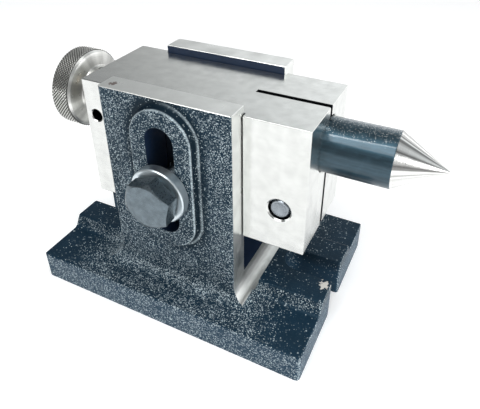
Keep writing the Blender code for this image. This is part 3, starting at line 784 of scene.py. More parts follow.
def satin_steel(name, colour, low_roughness, high_roughness):
    """Bolt and screw steel: plated, slightly blotched, with small dents."""
    made, tree = new_material(name)
    where = coordinates(tree)
    blotches = noise(tree, where, 420, 4)
    dents = noise(tree, where, 1500, 3)
    shade = mixed(tree, between(tree, blotches, 0.3, 0.7), colour4(colour, 0.80), colour4(colour, 1.15))
    roughness = between(tree, dents, 0.3, 0.7, low_roughness, high_roughness)
    return finish_sockets(made, shade, roughness, bumped(tree, dents, 0.00004, 0.5), Metallic=1.0)


def knurled_steel(colours, rim, depth):
    """Bright crests and grooves darkened nearly to black as painted shade, told apart by their distance from
    the knob's axis.
    """
    made, tree = new_material("knurled_knob_steel")
    where = coordinates(tree)
    _, radius = from_height_axis(tree, where)
    crest = between(tree, radius, rim - depth * 0.75, rim - depth * 0.10)
    wear = noise(tree, where, 500, 3)
    steel = colours.bright_steel
    # grooves nearly black: painted shade in them
    shade = mixed(tree, crest, colour4(steel, 0.05), colour4(steel, 0.95))
    shade = mixed(tree, between(tree, wear, 0.5, 0.8, 0, 0.3), shade, colour4(steel, 0.5))
    roughness = between(tree, crest, 0, 1, 0.5, 0.26)
    return finish_sockets(made, shade, roughness, bumped(tree, wear, 0.00003, 0.5), Metallic=1.0)


# ---------------------------------------------------------------- pieces
def fork_column(sizes):
    """The fork before it is cut: rounded at its cast corners, flared into the base at its feet."""
    tallest = max(sizes.side_fillet, sizes.back_fillet, sizes.front_fillet)
    steps = 16
    rises = [tallest * (1 - math.cos(math.pi / 2 * step / steps)) for step in range(steps + 1)]
    top = BASE_HIGH.z
    sections = [(PLATE_TOP - 0.004, 0.0, 0.0)]
    sections += [(PLATE_TOP + rise - 0.00002, rise, 0.0) for rise in rises]
    sections += [(top - sizes.edge_break, tallest, 0.0), (top, tallest, sizes.edge_break)]
    rings = []
    for height, rise, inset in sections:
        back = -FORK_END - fillet_offset(rise, sizes.back_fillet) + inset
        front = FORK_END + fillet_offset(rise, sizes.back_fillet) - inset
        side = CHEEK_FACE + fillet_offset(rise, sizes.side_fillet) - inset
        outline = rounded_box_outline(back, front, -side, side, 0.0012, 0.0004)
        rings.append([(x, y, height) for x, y in outline])
    return lofted("fork_column", rings)


def milling_cut(sizes):
    """Cutter for the round-nosed milling cut that faced the fork's nose end and grooved its foot."""
    radius = sizes.front_fillet
    middle = (FORK_END + radius, MILLED_FOOT + radius)
    angles = [math.pi / 2 * step / 16 for step in range(17)]
    arc = [(middle[0] - radius * math.cos(a), middle[1] - radius * math.sin(a)) for a in angles]
    top = BASE_HIGH.z + BEYOND
    section = [(FORK_END, top), *arc, (middle[0] + 0.0004, MILLED_FOOT), (middle[0] + 0.0004, top)]
    return slab("milling_cut", section, -0.045, 0.045, placing=ALONG_MINUS_Y)


def boss(sizes, side):
    """Boss round a clamp slot, drafted and blended into the cheek's outer face."""
    rise = BOSS_FACE - CHEEK_FACE
    foot, crown = 0.0010, 0.0006
    drafted = sizes.boss_radius + 0.0004
    angles = [math.pi / 2 * step / 6 for step in range(7)]
    sections = [(-0.003, drafted + foot)]
    sections += [(foot * (1 - math.cos(a)) - 0.00002, drafted + foot * (1 - math.sin(a))) for a in angles]
    sections += [
        (rise - crown + crown * math.sin(a), sizes.boss_radius - crown * (1 - math.cos(a))) for a in angles
    ]
    flip = 1 if side < 0 else -1
    rings = []
    for depth, radius in sections:
        outline = round_ended(SLOT_LOW_CENTRE, SLOT_HIGH_CENTRE, radius)
        rings.append([(x, -flip * (CHEEK_FACE + depth), z) for x, z in outline])
    return lofted(f"boss_{side}", rings)


def casting_body(sizes):
    """Plate and pads as one section along X, trimmed to the base's rounded plan."""
    half = BASE_HIGH.y
    pad, slope = 0.01725, 0.003
    below = -0.004
    section = rounded([
        (-half, below, 0), (half, below, 0), (half, PLATE_TOP, sizes.edge_round),
        (pad + slope, PLATE_TOP, 0.0022), (pad, PAD_TOP, 0.0013), (-pad, PAD_TOP, 0.0013),
        (-pad - slope, PLATE_TOP, 0.0022), (-half, PLATE_TOP, sizes.edge_round),
    ])
    body = slab("base_casting_finished", section, BASE_LOW.x, BASE_HIGH.x, 0.0007, SECTION_ALONG_X)
    plan = rounded_box_outline(BASE_LOW.x, BASE_HIGH.x, -half, half, sizes.corner_round, sizes.corner_round)
    trim = slab("plan_trim", plan, 0, 0.040)
    return body, trim


def table_slot(side):
    """Cutter for the open slot at one end of the base, with its mouth's corners rounded."""
    radius = 0.00575
    end = BASE_HIGH.x
    inner = end - 0.022
    round_place = 0.0013
    mouth = rounded([
        (inner + 2 * radius, -radius, 0), (end, -radius, round_place), (end, -radius - BEYOND, 0),
        (end + BEYOND, -radius - BEYOND, 0), (end + BEYOND, radius + BEYOND, 0), (end, radius + BEYOND, 0),
        (end, radius, round_place), (inner + 2 * radius, radius, 0),
    ], 5)
    bend = [math.radians(90 + 180 * step / 24) for step in range(25)]
    back = [(inner + radius + radius * math.cos(a), radius * math.sin(a)) for a in bend]
    outline = [(side * x, y) for x, y in mouth + back]
    return slab(f"table_slot_{side}", outline, -BEYOND, 0.040)


def channel_cutters(sizes):
    """The fork's channel, with its top edges and its ends' upright edges chamfered."""
    bevel = sizes.edge_break
    top = BASE_HIGH.z
    wall, flared = CHANNEL_SIDE, CHANNEL_SIDE + bevel + BEYOND
    section = rounded([
        (-wall, CHANNEL_FLOOR, 0.0006), (wall, CHANNEL_FLOOR, 0.0006), (wall, SHADE_BAND_LINE, 0),
        (wall, top - bevel, 0), (flared, top + BEYOND, 0), (-flared, top + BEYOND, 0),
        (-wall, top - bevel, 0), (-wall, SHADE_BAND_LINE, 0),
    ], 3)
    along = slab("channel", section, -0.060, 0.060, placing=SECTION_ALONG_X)
    end = FORK_END
    plan = [(end - bevel, -wall), (end + BEYOND, -flared), (end + BEYOND, flared), (end - bevel, wall)]
    mouth = slab("channel_mouth", plan, PAD_TOP + 0.0045, top + BEYOND)
    return along, mouth


class TAILSTOCK_OT_casting(bpy.types.Operator):
    """Model the painted base casting with its milled fork"""
    bl_idname = "tailstock.casting"
    bl_label = "Base casting"

    def execute(self, context):
        sizes = context.scene.tailstock_casting
        colours = context.scene.tailstock_finish
        body, trim = casting_body(sizes)
        column = fork_column(sizes)
        near_boss, far_boss = boss(sizes, -1), boss(sizes, 1)
        cut = milling_cut(sizes)
        along, mouth = channel_cutters(sizes)
        reach = BOSS_FACE + BEYOND
        clamp_outline = round_ended(SLOT_LOW_CENTRE, SLOT_HIGH_CENTRE, CLAMP_SLOT_WIDTH / 2)
        clamp_slot = slab("clamp_slot", clamp_outline, -reach, reach, placing=ALONG_MINUS_Y)
        slots = [table_slot(-1), table_slot(1)]
        combine(body, "INTERSECT", [trim])
        combine(body, "UNION", [column, near_boss, far_boss])
        combine(body, "DIFFERENCE", [cut, along, mouth, clamp_slot, *slots])
        settle(body, trim, column, near_boss, far_boss, cut, along, mouth, clamp_slot, *slots, smooth_angle=40)
        squared(body)
        stand_in_for(
            body, "base_casting", "base", "cast_paint", cast_paint(colours, sizes.boss_radius),
            milled_iron(colours), unlit_paint(colours),
        )
        front = FORK_END + sizes.front_fillet
        top = BASE_HIGH.z

        def milled(centre, normal):
            between_walls = abs(centre.y) < CHANNEL_SIDE + 0.0006 and abs(centre.x) < front
            in_channel = between_walls and CHANNEL_FLOOR - 0.0002 < centre.z < SHADE_BAND_LINE
            on_top = centre.z > top - 0.0006
            on_front = FORK_END - 0.0005 < centre.x < front + 0.0001 and centre.z > MILLED_FOOT + 0.00005
            facing_front = normal.x > 0.02 and abs(normal.y) < 0.12
            underneath = centre.z < 0.0001
            return in_channel or on_top or (on_front and facing_front) or underneath

        # faces inside the channel and on the clamp slots' walls get the darker paint as painted shade
        def shaded(centre, normal):
            between_walls = abs(centre.y) < CHANNEL_SIDE + 0.0001 and abs(normal.x) < 0.3
            in_channel = between_walls and CHANNEL_FLOOR - 0.0004 < centre.z < top - 0.0012
            in_slot = abs(centre.x) < CLAMP_SLOT_WIDTH / 2 + 0.0001 and abs(normal.y) < 0.2
            slot_high = SLOT_LOW_CENTRE - 0.006 < centre.z < SLOT_HIGH_CENTRE + 0.006
            return in_channel or (in_slot and slot_high and abs(centre.y) > CHANNEL_SIDE)

        paint_faces(body, 1, milled)
        paint_faces(body, 2, shaded)
        return {"FINISHED"}


class TAILSTOCK_OT_block(bpy.types.Operator):
    """Model the ground spindle block with its bore, slit and screw holes"""
    bl_idname = "tailstock.block"
    bl_label = "Spindle block"

    def execute(self, context):
        sizes = context.scene.tailstock_steel
        colours = context.scene.tailstock_finish
        side, waist = BLOCK_HIGH.y, CHANNEL_SIDE - GAP
        shoulder = FORK_END + GAP
        corner = sizes.edge_break
        half = [
            (BLOCK_HIGH.x, side, corner), (shoulder, side, corner), (shoulder, waist, 0.0003),
            (-shoulder, waist, 0.0003), (-shoulder, side, corner), (BLOCK_LOW.x, side, corner),
        ]
        outline = rounded(half + [(x, -y, radius) for x, y, radius in reversed(half)], 3)
        block = slab("spindle_block_finished", outline, BLOCK_LOW.z, BLOCK_HIGH.z, corner)
        spindle = Vector((0, 0, SPINDLE_HEIGHT))
        bore = turned(
            "bore", drilled(CENTRE_RADIUS + GAP, BLOCK_HIGH.x, BLOCK_HIGH.x - BORE_BOTTOM, 0.0004),
            spindle, ALONG_X, 128,
        )
        journal = turned(
            "journal", drilled(SCREW_RADIUS + GAP, -BLOCK_LOW.x, BORE_BOTTOM - BLOCK_LOW.x + BEYOND, 0.0004),
            spindle, Matrix.Rotation(math.radians(-90), 4, "Y"),
        )
        wide = sizes.slit_width / 2
        under, over = BLOCK_LOW.z - BEYOND, BLOCK_HIGH.z + BEYOND
        slit = slab(
            "slit", [(-wide, under), (wide, under), (wide, over), (-wide, over)],
            BLOCK_HIGH.x - sizes.slit_length, BLOCK_HIGH.x + BEYOND, placing=SECTION_ALONG_X,
        )
        pinch = Vector((PINCH_PLACE.x, 0, PINCH_PLACE.z))
        pinch_hole = turned(
            "pinch_hole", drilled(PINCH_SHANK + GAP, side, 2 * side + BEYOND, 0.0005), pinch, ALONG_MINUS_Y
        )
        head_radius = (PINCH_HIGH.x - PINCH_LOW.x) / 2 + GAP
        head_seat = PINCH_HIGH.y - PINCH_HEAD_DEPTH - GAP
        pinch_seat = turned(
            "pinch_seat", drilled(head_radius, side, side - head_seat, 0.0004), pinch, ALONG_PLUS_Y
        )
        retainer = Vector((RETAINER_PLACE.x, 0, SPINDLE_HEIGHT))
        retainer_radius = (RETAINER_HIGH.x - RETAINER_LOW.x) / 2 + GAP
        retainer_hole = turned(
            "retainer_hole", drilled(retainer_radius, side, side, 0.0003), retainer, ALONG_MINUS_Y, 48
        )
        key_radius = (KEY_HIGH.x - KEY_LOW.x) / 2 + GAP
        key_depth = SPINDLE_HEIGHT - CENTRE_RADIUS + 0.002 - BLOCK_LOW.z
        key_hole = turned(
            "key_hole", drilled(key_radius, -BLOCK_LOW.z, key_depth, 0.0003), (KEY_PLACE.x, 0, 0),
            Matrix.Rotation(math.pi, 4, "X"), 48,
        )
        bolt_depth = waist - (BOLT_LOW.y - GAP)
        bolt_holes = [
            turned(name, drilled(SCREW_RADIUS + GAP, waist, bolt_depth, 0.0005), (0, 0, BOLT_HEIGHT), direction)
            for name, direction in (("bolt_hole_near", ALONG_MINUS_Y), ("bolt_hole_far", ALONG_PLUS_Y))
        ]
        cutters = [bore, journal, slit, pinch_hole, pinch_seat, retainer_hole, key_hole, *bolt_holes]
        combine(block, "DIFFERENCE", cutters)
        settle(block, *cutters, smooth_angle=40)
        stand_in_for(
            block, "spindle_block", "block", "ground_steel", ground_steel(colours), bore_steel("bored_steel")
        )
        skin = 0.0006
        low, high = BLOCK_LOW + Vector((skin, skin, skin)), BLOCK_HIGH - Vector((skin, skin, skin))

        def inside(centre, normal):
            out = abs(centre.y)
            off_the_ends = low.x < centre.x < high.x and low.z < centre.z < high.z
            in_waist = out < waist - skin
            in_side = out < side - skin and abs(normal.x) + abs(normal.z) > 0.3
            between_cheeks = abs(centre.x) < shoulder + 0.001 and out > waist - skin
            # the slit's walls take the dark bore steel as painted shade
            in_slit = out < 0.0013 and abs(normal.y) > 0.9
            return (off_the_ends and (in_waist or (in_side and not between_cheeks))) or in_slit

        paint_faces(block, 1, inside)
        return {"FINISHED"}


class TAILSTOCK_OT_centre(bpy.types.Operator):
    """Model the dead centre: a blued shank with a keyway, and a bright 60 degree point"""
    bl_idname = "tailstock.centre"
    bl_label = "Dead centre"

    def execute(self, context):
        sizes = context.scene.tailstock_steel
        colours = context.scene.tailstock_finish
        length = CENTRE_HIGH.x - CENTRE_LOW.x
        cone = CENTRE_RADIUS * math.sqrt(3)
        shank = length - cone
        bore = SCREW_RADIUS + GAP
        tip = 0.00022
        outline = [
            (0, length - tip * 1.2), (tip, length - tip * 1.75), (CENTRE_RADIUS - 0.00012, shank + 0.0001),
            (CENTRE_RADIUS, shank - 0.00012), (CENTRE_RADIUS, 0.0010), (CENTRE_RADIUS - 0.0010, 0),
            (bore + 0.0008, 0), (bore, 0.0008), (bore, 0.040), (0, 0.043),
        ]
        start = Vector((CENTRE_LOW.x, 0, SPINDLE_HEIGHT))
        centre = turned("centre_finished", outline, start, ALONG_X, 160)
        half = sizes.keyway_width / 2
        keyway_end = shank - 0.007
        corners = [
            (-BEYOND, -half, 0), (keyway_end, -half, half * 0.98), (keyway_end, half, half * 0.98),
            (-BEYOND, half, 0),
        ]
        depth_low = -CENTRE_RADIUS - BEYOND
        floor = -CENTRE_RADIUS + sizes.keyway_depth
        keyway = slab("keyway", rounded(corners, 12), depth_low, floor, placing=Matrix.Translation(start))
        combine(centre, "DIFFERENCE", [keyway])
        settle(centre, keyway, smooth_angle=20)
        # the point's dark rays, kept mostly on its upper side, are painted reflections
        bright = turned_steel(
            "turned_point_steel", (0.92, 0.92, 0.90), 0.12, 0.22, 0.000012, 0.6, 0.85, dark_reflection_side=True
        )
        stand_in_for(centre, "centre", "centre", "blued_steel", blued_steel(colours), bright)
        paint_faces(centre, 1, lambda middle, normal: middle.x > start.x + shank + 0.00005)
        return {"FINISHED"}


def pin_hole(name, steps):
    """Cutter for the pin's hole through the knob's hub and the feed screw's tail."""
    reach = 0.02
    outline = [(0, reach), (PIN_HOLE_RADIUS, reach), (PIN_HOLE_RADIUS, -reach), (0, -reach)]
    return turned(name, outline, (PIN_PLACE.x, 0, SPINDLE_HEIGHT), UP, steps)


class TAILSTOCK_OT_feed_screw(bpy.types.Operator):
    """Model the feed screw with its thread, collar and grooved journal, and its bronze washer"""
    bl_idname = "tailstock.feed_screw"
    bl_label = "Feed screw"

    def execute(self, context):
        sizes = context.scene.tailstock_steel
        colours = context.scene.tailstock_finish
        start = Vector((SCREW_LOW.x, 0, SPINDLE_HEIGHT))
        collar_back = BORE_BOTTOM + GAP - start.x
        collar_front = collar_back + 0.0035
        tip = SCREW_HIGH.x - start.x
        groove = RETAINER_PLACE.x - start.x
        seat_front = THRUST_LOW.x - start.x
        core = SCREW_RADIUS - sizes.thread_pitch * THREAD_DEPTH
        run_out = collar_front + 0.004
        collar, neck, tail, half_groove = 0.008, 0.003, 0.004, 0.0026
        outline = [
            (0, tip), (core - 0.0004, tip), (core, tip - 0.0006), (core, run_out),
            (SCREW_RADIUS, run_out - 0.0008), (SCREW_RADIUS, collar_front),
            (collar - 0.0002, collar_front), (collar, collar_front - 0.0002),
            (collar, collar_back + 0.0002), (collar - 0.0002, collar_back), (SCREW_RADIUS, collar_back),
            (SCREW_RADIUS, groove + half_groove), (neck, groove + half_groove),
            (neck, groove - half_groove), (SCREW_RADIUS, groove - half_groove),
            (SCREW_RADIUS, seat_front), (tail, seat_front), (tail, 0.0004), (tail - 0.0004, 0), (0, 0),
        ]
        screw = turned("feed_screw_finished", outline, start, ALONG_X, 64)
        hole = pin_hole("screw_pin_hole", 32)
        combine(screw, "DIFFERENCE", [hole])
        settle(screw, hole)
        ridge = thread(
            "feed_thread", SCREW_RADIUS, sizes.thread_pitch, run_out - 0.0006, tip - 0.0008, start, ALONG_X,
            left_handed=True,
        )
        merge(screw, ridge, 35)
        steel = turned_steel("feed_screw_steel", (0.42, 0.43, 0.44), 0.22, 0.36)
        stand_in_for(screw, "feed_screw", "feed", "screw_steel", steel)
        washer = ring_piece(
            "feed_thrust_washer_finished", (THRUST_HIGH.z - THRUST_LOW.z) / 2, SCREW_RADIUS + GAP,
            THRUST_HIGH.x - THRUST_LOW.x, 0.0002, (THRUST_LOW.x, 0, SPINDLE_HEIGHT), ALONG_X,
        )
        bronze = turned_steel("turned_bronze", colours.bronze, 0.25, 0.38)
        stand_in_for(washer, "feed_thrust_washer", "block", "bronze", bronze)
        return {"FINISHED"}


def ring_piece(name, outer, inner, thickness, chamfer, start, direction, steps=96):
    """A flat ring with all four edges chamfered."""
    outline = [
        (inner + chamfer, thickness), (outer - chamfer, thickness), (outer, thickness - chamfer),
        (outer, chamfer), (outer - chamfer, 0), (inner + chamfer, 0), (inner, chamfer),
        (inner, thickness - chamfer),
    ]
    return settle(turned(name, outline, start, direction, steps), smooth_angle=25)


def knurled_band(name, rim, low, high, teeth, depth, groove, placing):
    """A closed drum whose wall is a net of diamonds, each raised from the grooves round it."""
    step = math.pi / teeth
    rise = step * (rim - depth)
    rows = 2 * max(1, round((high - low) / (2 * rise)))
    bm = bmesh.new()
    grid = {}
    for row in range(rows + 1):
        height = low + (high - low) * row / rows
        for column in range(2 * teeth):
            if (row + column) % 2 == 0:
                angle = step * column
                point = ((rim - depth) * math.cos(angle), (rim - depth) * math.sin(angle), height)
                grid[row, column] = bm.verts.new(point)
    diamonds = []
    for row in range(rows + 1):
        for column in range(2 * teeth):
            if (row + column) % 2 == 0:
                continue
            before, after = (column - 1) % (2 * teeth), (column + 1) % (2 * teeth)
            around = [(row, before), (row - 1, column), (row, after), (row + 1, column)]
            diamonds.append(bm.faces.new([grid[place] for place in around if place in grid]))
    bm.faces.new([grid[0, column] for column in range(0, 2 * teeth, 2)])
    bm.faces.new([grid[rows, column] for column in range(0, 2 * teeth, 2)])
    bmesh.ops.recalc_face_normals(bm, faces=bm.faces)
    bmesh.ops.inset_individual(bm, faces=diamonds, thickness=rise * groove, depth=depth, use_even_offset=True)
    return new_object(name, bm, placing)


class TAILSTOCK_OT_knob(bpy.types.Operator):
    """Model the knurled feed knob and the pin through its hub"""
    bl_idname = "tailstock.knob"
    bl_label = "Feed knob"

    def execute(self, context):
        knurl = context.scene.tailstock_knurl
        colours = context.scene.tailstock_finish
        start = Vector((KNOB_LOW.x, 0, SPINDLE_HEIGHT))
        rim = (KNOB_HIGH.z - KNOB_LOW.z) / 2
        length = KNOB_HIGH.x - KNOB_LOW.x
        hub, bore = 0.010, 0.004 + GAP
        wide = 0.0105
        root = rim - knurl.depth - 0.00005
        band_low, band_high = 0.0007, wide - 0.0021
        outline = [
            (bore + 0.0004, length), (hub - 0.0005, length), (hub, length - 0.0005), (hub, wide + 0.0006),
            (hub + 0.0002, wide + 0.0002), (hub + 0.0006, wide), (rim - 0.0022, wide - 0.0009),
            (rim - 0.0013, wide - 0.0013), (root, band_high), (root, band_low), (rim - 0.0011, 0.0001),
            (rim - 0.0018, 0), (hub + 0.0012, 0), (hub, 0.0007), (bore + 0.0016, 0.0007),
            (bore + 0.0004, 0.0004), (bore, 0.0009), (bore, length - 0.0004),
        ]
        knob = turned("feed_knob_finished", outline, start, ALONG_X, 128)
        hole = pin_hole("hub_pin_hole", 48)
        combine(knob, "DIFFERENCE", [hole])
        settle(knob, hole)
        band = knurled_band(
            "knurl", rim, band_low, band_high, knurl.teeth, knurl.depth, knurl.groove, knob.matrix_world
        )
        plain_faces = len(knob.data.polygons)
        merge(knob, band, 20)
        # the knob's dark rays are painted reflections
        bright = turned_steel("turned_knob_steel", (0.95, 0.95, 0.92), 0.26, 0.38, 0.00002, 0.5, 0.6, 2.0)
        grip = knurled_steel(colours, rim, knurl.depth)
        stand_in_for(knob, "feed_knob", "feed", "knob_steel", bright, grip)
        for face in knob.data.polygons[plain_faces:]:
            face.material_index = 1
        pin_radius = (PIN_HIGH.x - PIN_LOW.x) / 2
        height = PIN_HIGH.z - PIN_LOW.z
        pin = turned(
            "knob_pin_finished",
            [(0, height), (pin_radius - 0.0003, height), (pin_radius, height - 0.0003), (pin_radius, 0.0003),
             (pin_radius - 0.0003, 0), (0, 0)],
            (PIN_PLACE.x, 0, PIN_LOW.z), UP, 32,
        )
        settle(pin, smooth_angle=25)
        pin_steel = satin_steel("pin_steel", (0.36, 0.37, 0.38), 0.25, 0.4)
        stand_in_for(pin, "knob_pin", "feed", "screw_steel", pin_steel)
        return {"FINISHED"}


class TAILSTOCK_OT_clamps(bpy.types.Operator):
    """Model the clamp bolts and their washers on both sides of the fork"""
    bl_idname = "tailstock.clamps"
    bl_label = "Clamp bolts and washers"

    def execute(self, context):
        sizes = context.scene.tailstock_steel
        colours = context.scene.tailstock_finish
        bolt_steel = satin_steel("clamp_bolt_steel", colours.bolt_steel, 0.24, 0.38)
        washer_steel = turned_steel("clamp_washer_steel", colours.washer_steel, 0.30, 0.44)
        for label, side, direction in (("near", -1, ALONG_MINUS_Y), ("far", 1, ALONG_PLUS_Y)):
            washer = ring_piece(
                f"clamp_washer_{label}_finished", (WASHER_HIGH.z - WASHER_LOW.z) / 2, SCREW_RADIUS + GAP,
                WASHER_HIGH.y - WASHER_LOW.y, 0.0004, (0, side * WASHER_LOW.y, BOLT_HEIGHT), direction,
            )
            stand_in_for(washer, f"clamp_washer_{label}", f"clamp_{label}_washer", "washer_steel", washer_steel)
            bolt = self.bolt(f"clamp_bolt_{label}_finished", sizes, side, direction)
            stand_in_for(bolt, f"clamp_bolt_{label}", f"clamp_{label}_bolt", "bolt_steel", bolt_steel)
        return {"FINISHED"}

    def bolt(self, name, sizes, side, direction):
        """Hexagon head chamfered on its outer face, a washer face under it, and a threaded shank."""
        seat_y = WASHER_HIGH.y + GAP
        head = BOLT_HIGH.y - seat_y
        seat = Vector((0, side * seat_y, BOLT_HEIGHT))
        reach = sizes.head_flats / math.sqrt(3)
        face = sizes.head_flats / 2 * 0.95
        drop = (reach - face) * math.tan(math.radians(30))
        bolt = hexagon(name, sizes.head_flats, seat, head, direction, -side * sizes.head_turn, 0.0004)
        wide = reach + BEYOND
        blank = turned(
            f"{name}_blank",
            [(0, head), (face - 0.0002, head), (face, head - 0.00008), (reach, head - drop),
             (wide, head - drop), (wide, 0.0005), (face, 0.0005), (face - 0.0003, 0), (0, 0)],
            seat, direction, 128,
        )
        length = seat_y - BOLT_LOW.y
        core = SCREW_RADIUS - sizes.thread_pitch * THREAD_DEPTH
        plain = -0.0065
        shank = turned(
            f"{name}_shank",
            [(0, head / 2), (SCREW_RADIUS, head / 2), (SCREW_RADIUS, plain), (core, plain - 0.0008),
             (core, -length + 0.0006), (core - 0.0005, -length), (0, -length)],
            seat, direction, 64,
        )
        combine(bolt, "INTERSECT", [blank])
        combine(bolt, "UNION", [shank])
        settle(bolt, blank, shank, smooth_angle=25)
        worn_edges(bolt, 0.00022, 22, 75)
        ridge = thread(
            f"{name}_thread", SCREW_RADIUS, sizes.thread_pitch, -length + 0.0010, plain, seat, direction
        )
        merge(bolt, ridge, 25)
        return bolt


class TAILSTOCK_OT_screws(bpy.types.Operator):
    """Model the pinch screw across the slit and the two dog-point grub screws"""
    bl_idname = "tailstock.screws"
    bl_label = "Pinch and grub screws"

    def execute(self, context):
        oiled = satin_steel("oiled_screw_steel", (0.30, 0.33, 0.36), 0.22, 0.36)
        black = satin_steel("black_screw_steel", (0.035, 0.037, 0.042), 0.35, 0.5)
        self.pinch(oiled)
        head_y = -RETAINER_LOW.y
        retainer = self.grub(
            "feed_retaining_screw_finished", (RETAINER_HIGH.x - RETAINER_LOW.x) / 2, head_y + RETAINER_HIGH.y,
            head_y - SCREW_RADIUS - GAP, 0.0015, Vector((RETAINER_PLACE.x, RETAINER_LOW.y, SPINDLE_HEIGHT)),
            ALONG_PLUS_Y,
        )
        stand_in_for(retainer, "feed_retaining_screw", "block", "black_screw", black)
        key = self.grub(
            "centre_key_screw_finished", (KEY_HIGH.x - KEY_LOW.x) / 2, KEY_HIGH.z - KEY_LOW.z, 0.011, 0.0022,
            Vector((KEY_PLACE.x, 0, KEY_LOW.z)), UP,
        )
        stand_in_for(key, "centre_key_screw", "block", "black_screw", black)
        return {"FINISHED"}

    def pinch(self, finish):
        """Socket-head screw: its head in the far side, its chamfered end in the near side."""
        head = (PINCH_HIGH.x - PINCH_LOW.x) / 2
        shank, deep = PINCH_SHANK, PINCH_HEAD_DEPTH
        seat = Vector((PINCH_PLACE.x, PINCH_HIGH.y - deep, PINCH_PLACE.z))
        reach = seat.y - PINCH_LOW.y
        outline = [
            (0, deep), (head - 0.0010, deep), (head - 0.0003, deep - 0.0003), (head, deep - 0.0010),
            (head, 0.0003), (head - 0.0003, 0), (shank, 0), (shank, -reach + 0.0009),
            (shank - 0.0008, -reach + 0.0001), (shank - 0.0013, -reach),
            (shank - 0.0016, -reach + 0.00012), (0, -reach + 0.00012),
        ]
        screw = turned("pinch_screw_finished", outline, seat, ALONG_PLUS_Y, 96)
        socket = hexagon("pinch_socket", 0.006, seat + Vector((0, deep / 2, 0)), deep, ALONG_PLUS_Y)
        combine(screw, "DIFFERENCE", [socket])
        settle(screw, socket, smooth_angle=25)
        stand_in_for(screw, "pinch_screw", "pinch", "oiled_steel", finish)

    def grub(self, name, radius, whole, body, dog, head, direction):
        """Grub screw with a hexagon socket in its head and a plain dog at its far end."""
        chamfer = radius * 0.15
        outline = [
            (0, whole), (dog - 0.0002, whole), (dog, whole - 0.0002), (dog, body + 0.0003),
            (dog + 0.0003, body), (radius - 0.0002, body - 0.0002), (radius, body - chamfer),
            (radius, chamfer), (radius - chamfer, 0), (0, 0),
        ]
        screw = turned(name, outline, head, direction, 48)
        before = head - direction.to_3x3() @ Vector((0, 0, BEYOND))
        socket = hexagon(f"{name}_socket", radius, before, BEYOND + radius, direction)
        combine(screw, "DIFFERENCE", [socket])
        return settle(screw, socket, smooth_angle=25)


# ---------------------------------------------------------------- studio
CAMERA_PLACE = Vector((0.09017, -0.14695, 0.16664))
CAMERA_RIGHT = Vector((0.897346, 0.441327, 0.000395))
CAMERA_DOWN = Vector((0.228753, -0.464355, -0.855597))
CAMERA_LENS = 37.85
CAMERA_SHIFT = (-0.0099, -0.1305)
SENSOR_WIDTH = 36


def add_area_light(name, place, target, size, power):
    data = bpy.data.lights.new(name, "AREA")
    data.shape = "RECTANGLE"
    data.size, data.size_y = size
    data.energy = power
    light = bpy.data.objects.new(name, data)
    bpy.context.scene.collection.objects.link(light)
    light.location = place
    light.rotation_euler = (Vector(target) - Vector(place)).to_track_quat("-Z", "Y").to_euler()


def studio_sky(scene, low, high):
    """Bright near the horizon, darker overhead, in front and towards the knob's side."""
    world = bpy.data.worlds.new("studio")
    world.use_nodes = True
    scene.world = world
    tree = world.node_tree
    along, across, up = split(tree, add(tree, "TexCoord").outputs["Generated"])
    strength = between(tree, up, 0.05, 0.85, low, high)
    knob_side = between(tree, along, -0.65, -0.25, 0.36, 1.22)
    front = between(tree, across, -0.35, 0.15, 0.30, 1.0)
    strength = product(tree, strength, knob_side, front)
    tint = mixed(tree, between(tree, up, 0.1, 0.6), (1, 1, 1, 1), (0.94, 0.98, 1, 1))
    background = tree.nodes["Background"]
    tree.links.new(tint, background.inputs["Color"])
    tree.links.new(strength, background.inputs["Strength"])


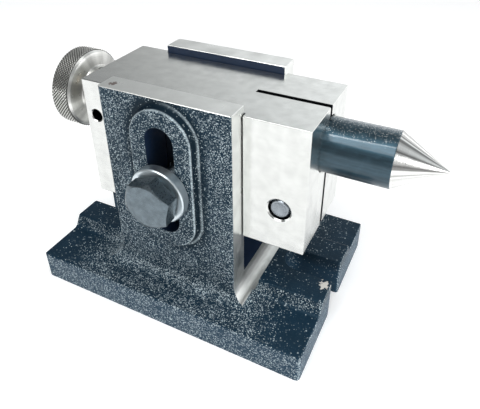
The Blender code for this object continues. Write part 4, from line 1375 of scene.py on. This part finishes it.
class TAILSTOCK_OT_studio(bpy.types.Operator):
    """Set up the floor, the soft lights and the camera"""
    bl_idname = "tailstock.studio"
    bl_label = "Studio"

    def execute(self, context):
        scene = context.scene
        studio = scene.tailstock_studio
        bm = bmesh.new()
        bmesh.ops.create_grid(bm, x_segments=8, y_segments=8, size=2.5)
        floor = new_object("studio_floor", bm, Matrix.Translation((0, 0, -0.00002)))
        made, tree = new_material("pale_floor")
        where = coordinates(tree)
        soft = noise(tree, where, 6, 2)
        shade = mixed(tree, soft, colour4(studio.floor_colour, 0.99), colour4(studio.floor_colour))
        finish_sockets(made, shade, between(tree, soft, 0, 1, 0.8, 0.9), bumped(tree, soft, 0.00001))
        glow = made.node_tree.nodes["Principled BSDF"].inputs
        glow["Emission Color"].default_value = (1, 1, 1, 1)
        glow["Emission Strength"].default_value = studio.floor_glow
        floor.data.materials.append(made)
        studio_sky(scene, studio.sky_low, studio.sky_high)
        middle = (0, 0, 0.05)
        add_area_light("front_softbox", (-0.15, -0.60, 0.95), middle, (0.9, 0.5), studio.front_power)
        add_area_light("top_strip", (0.10, -0.12, 0.80), middle, (0.9, 0.06), studio.top_power)
        add_area_light("nose_softbox", (0.75, -0.12, 0.22), middle, (0.5, 0.4), studio.nose_power)
        data = bpy.data.cameras.new("studio_camera")
        data.lens = CAMERA_LENS
        data.sensor_width = SENSOR_WIDTH
        data.shift_x, data.shift_y = CAMERA_SHIFT
        data.clip_start = 0.01
        camera = bpy.data.objects.new("studio_camera", data)
        scene.collection.objects.link(camera)
        up = -CAMERA_DOWN
        back = CAMERA_RIGHT.cross(up)
        turn = Matrix((CAMERA_RIGHT, up, back)).transposed()
        camera.matrix_world = Matrix.Translation(CAMERA_PLACE) @ turn.to_4x4()
        scene.camera = camera
        scene.view_settings.view_transform = "Standard"
        return {"FINISHED"}


class TAILSTOCK_PT_sidebar(bpy.types.Panel):
    bl_idname = "TAILSTOCK_PT_sidebar"
    bl_label = "Adjustable tailstock"
    bl_space_type = "VIEW_3D"
    bl_region_type = "UI"
    bl_category = "Tailstock"

    def draw(self, context):
        for operator in OPERATORS:
            self.layout.operator(operator.bl_idname)
        for settings in SETTINGS:
            column = self.layout.column()
            group = getattr(context.scene, settings)
            for name in SETTINGS[settings].__annotations__:
                column.prop(group, name)


OPERATORS = (
    TAILSTOCK_OT_casting, TAILSTOCK_OT_block, TAILSTOCK_OT_centre, TAILSTOCK_OT_feed_screw, TAILSTOCK_OT_knob,
    TAILSTOCK_OT_clamps, TAILSTOCK_OT_screws, TAILSTOCK_OT_studio,
)
SETTINGS = {
    "tailstock_casting": TailstockCasting,
    "tailstock_steel": TailstockSteel,
    "tailstock_knurl": TailstockKnurl,
    "tailstock_finish": TailstockFinish,
    "tailstock_studio": TailstockStudio,
}


def register():
    for name, group in SETTINGS.items():
        bpy.utils.register_class(group)
        setattr(bpy.types.Scene, name, PointerProperty(type=group))
    for operator in OPERATORS:
        bpy.utils.register_class(operator)
    bpy.utils.register_class(TAILSTOCK_PT_sidebar)


def unregister():
    bpy.utils.unregister_class(TAILSTOCK_PT_sidebar)
    for operator in reversed(OPERATORS):
        bpy.utils.unregister_class(operator)
    for name, group in SETTINGS.items():
        delattr(bpy.types.Scene, name)
        bpy.utils.unregister_class(group)


def main():
    register()
    bpy.ops.tailstock.casting()
    bpy.ops.tailstock.block()
    bpy.ops.tailstock.centre()
    bpy.ops.tailstock.feed_screw()
    bpy.ops.tailstock.knob()
    bpy.ops.tailstock.clamps()
    bpy.ops.tailstock.screws()
    bpy.ops.tailstock.studio()


if __name__ == "__main__":
    main()
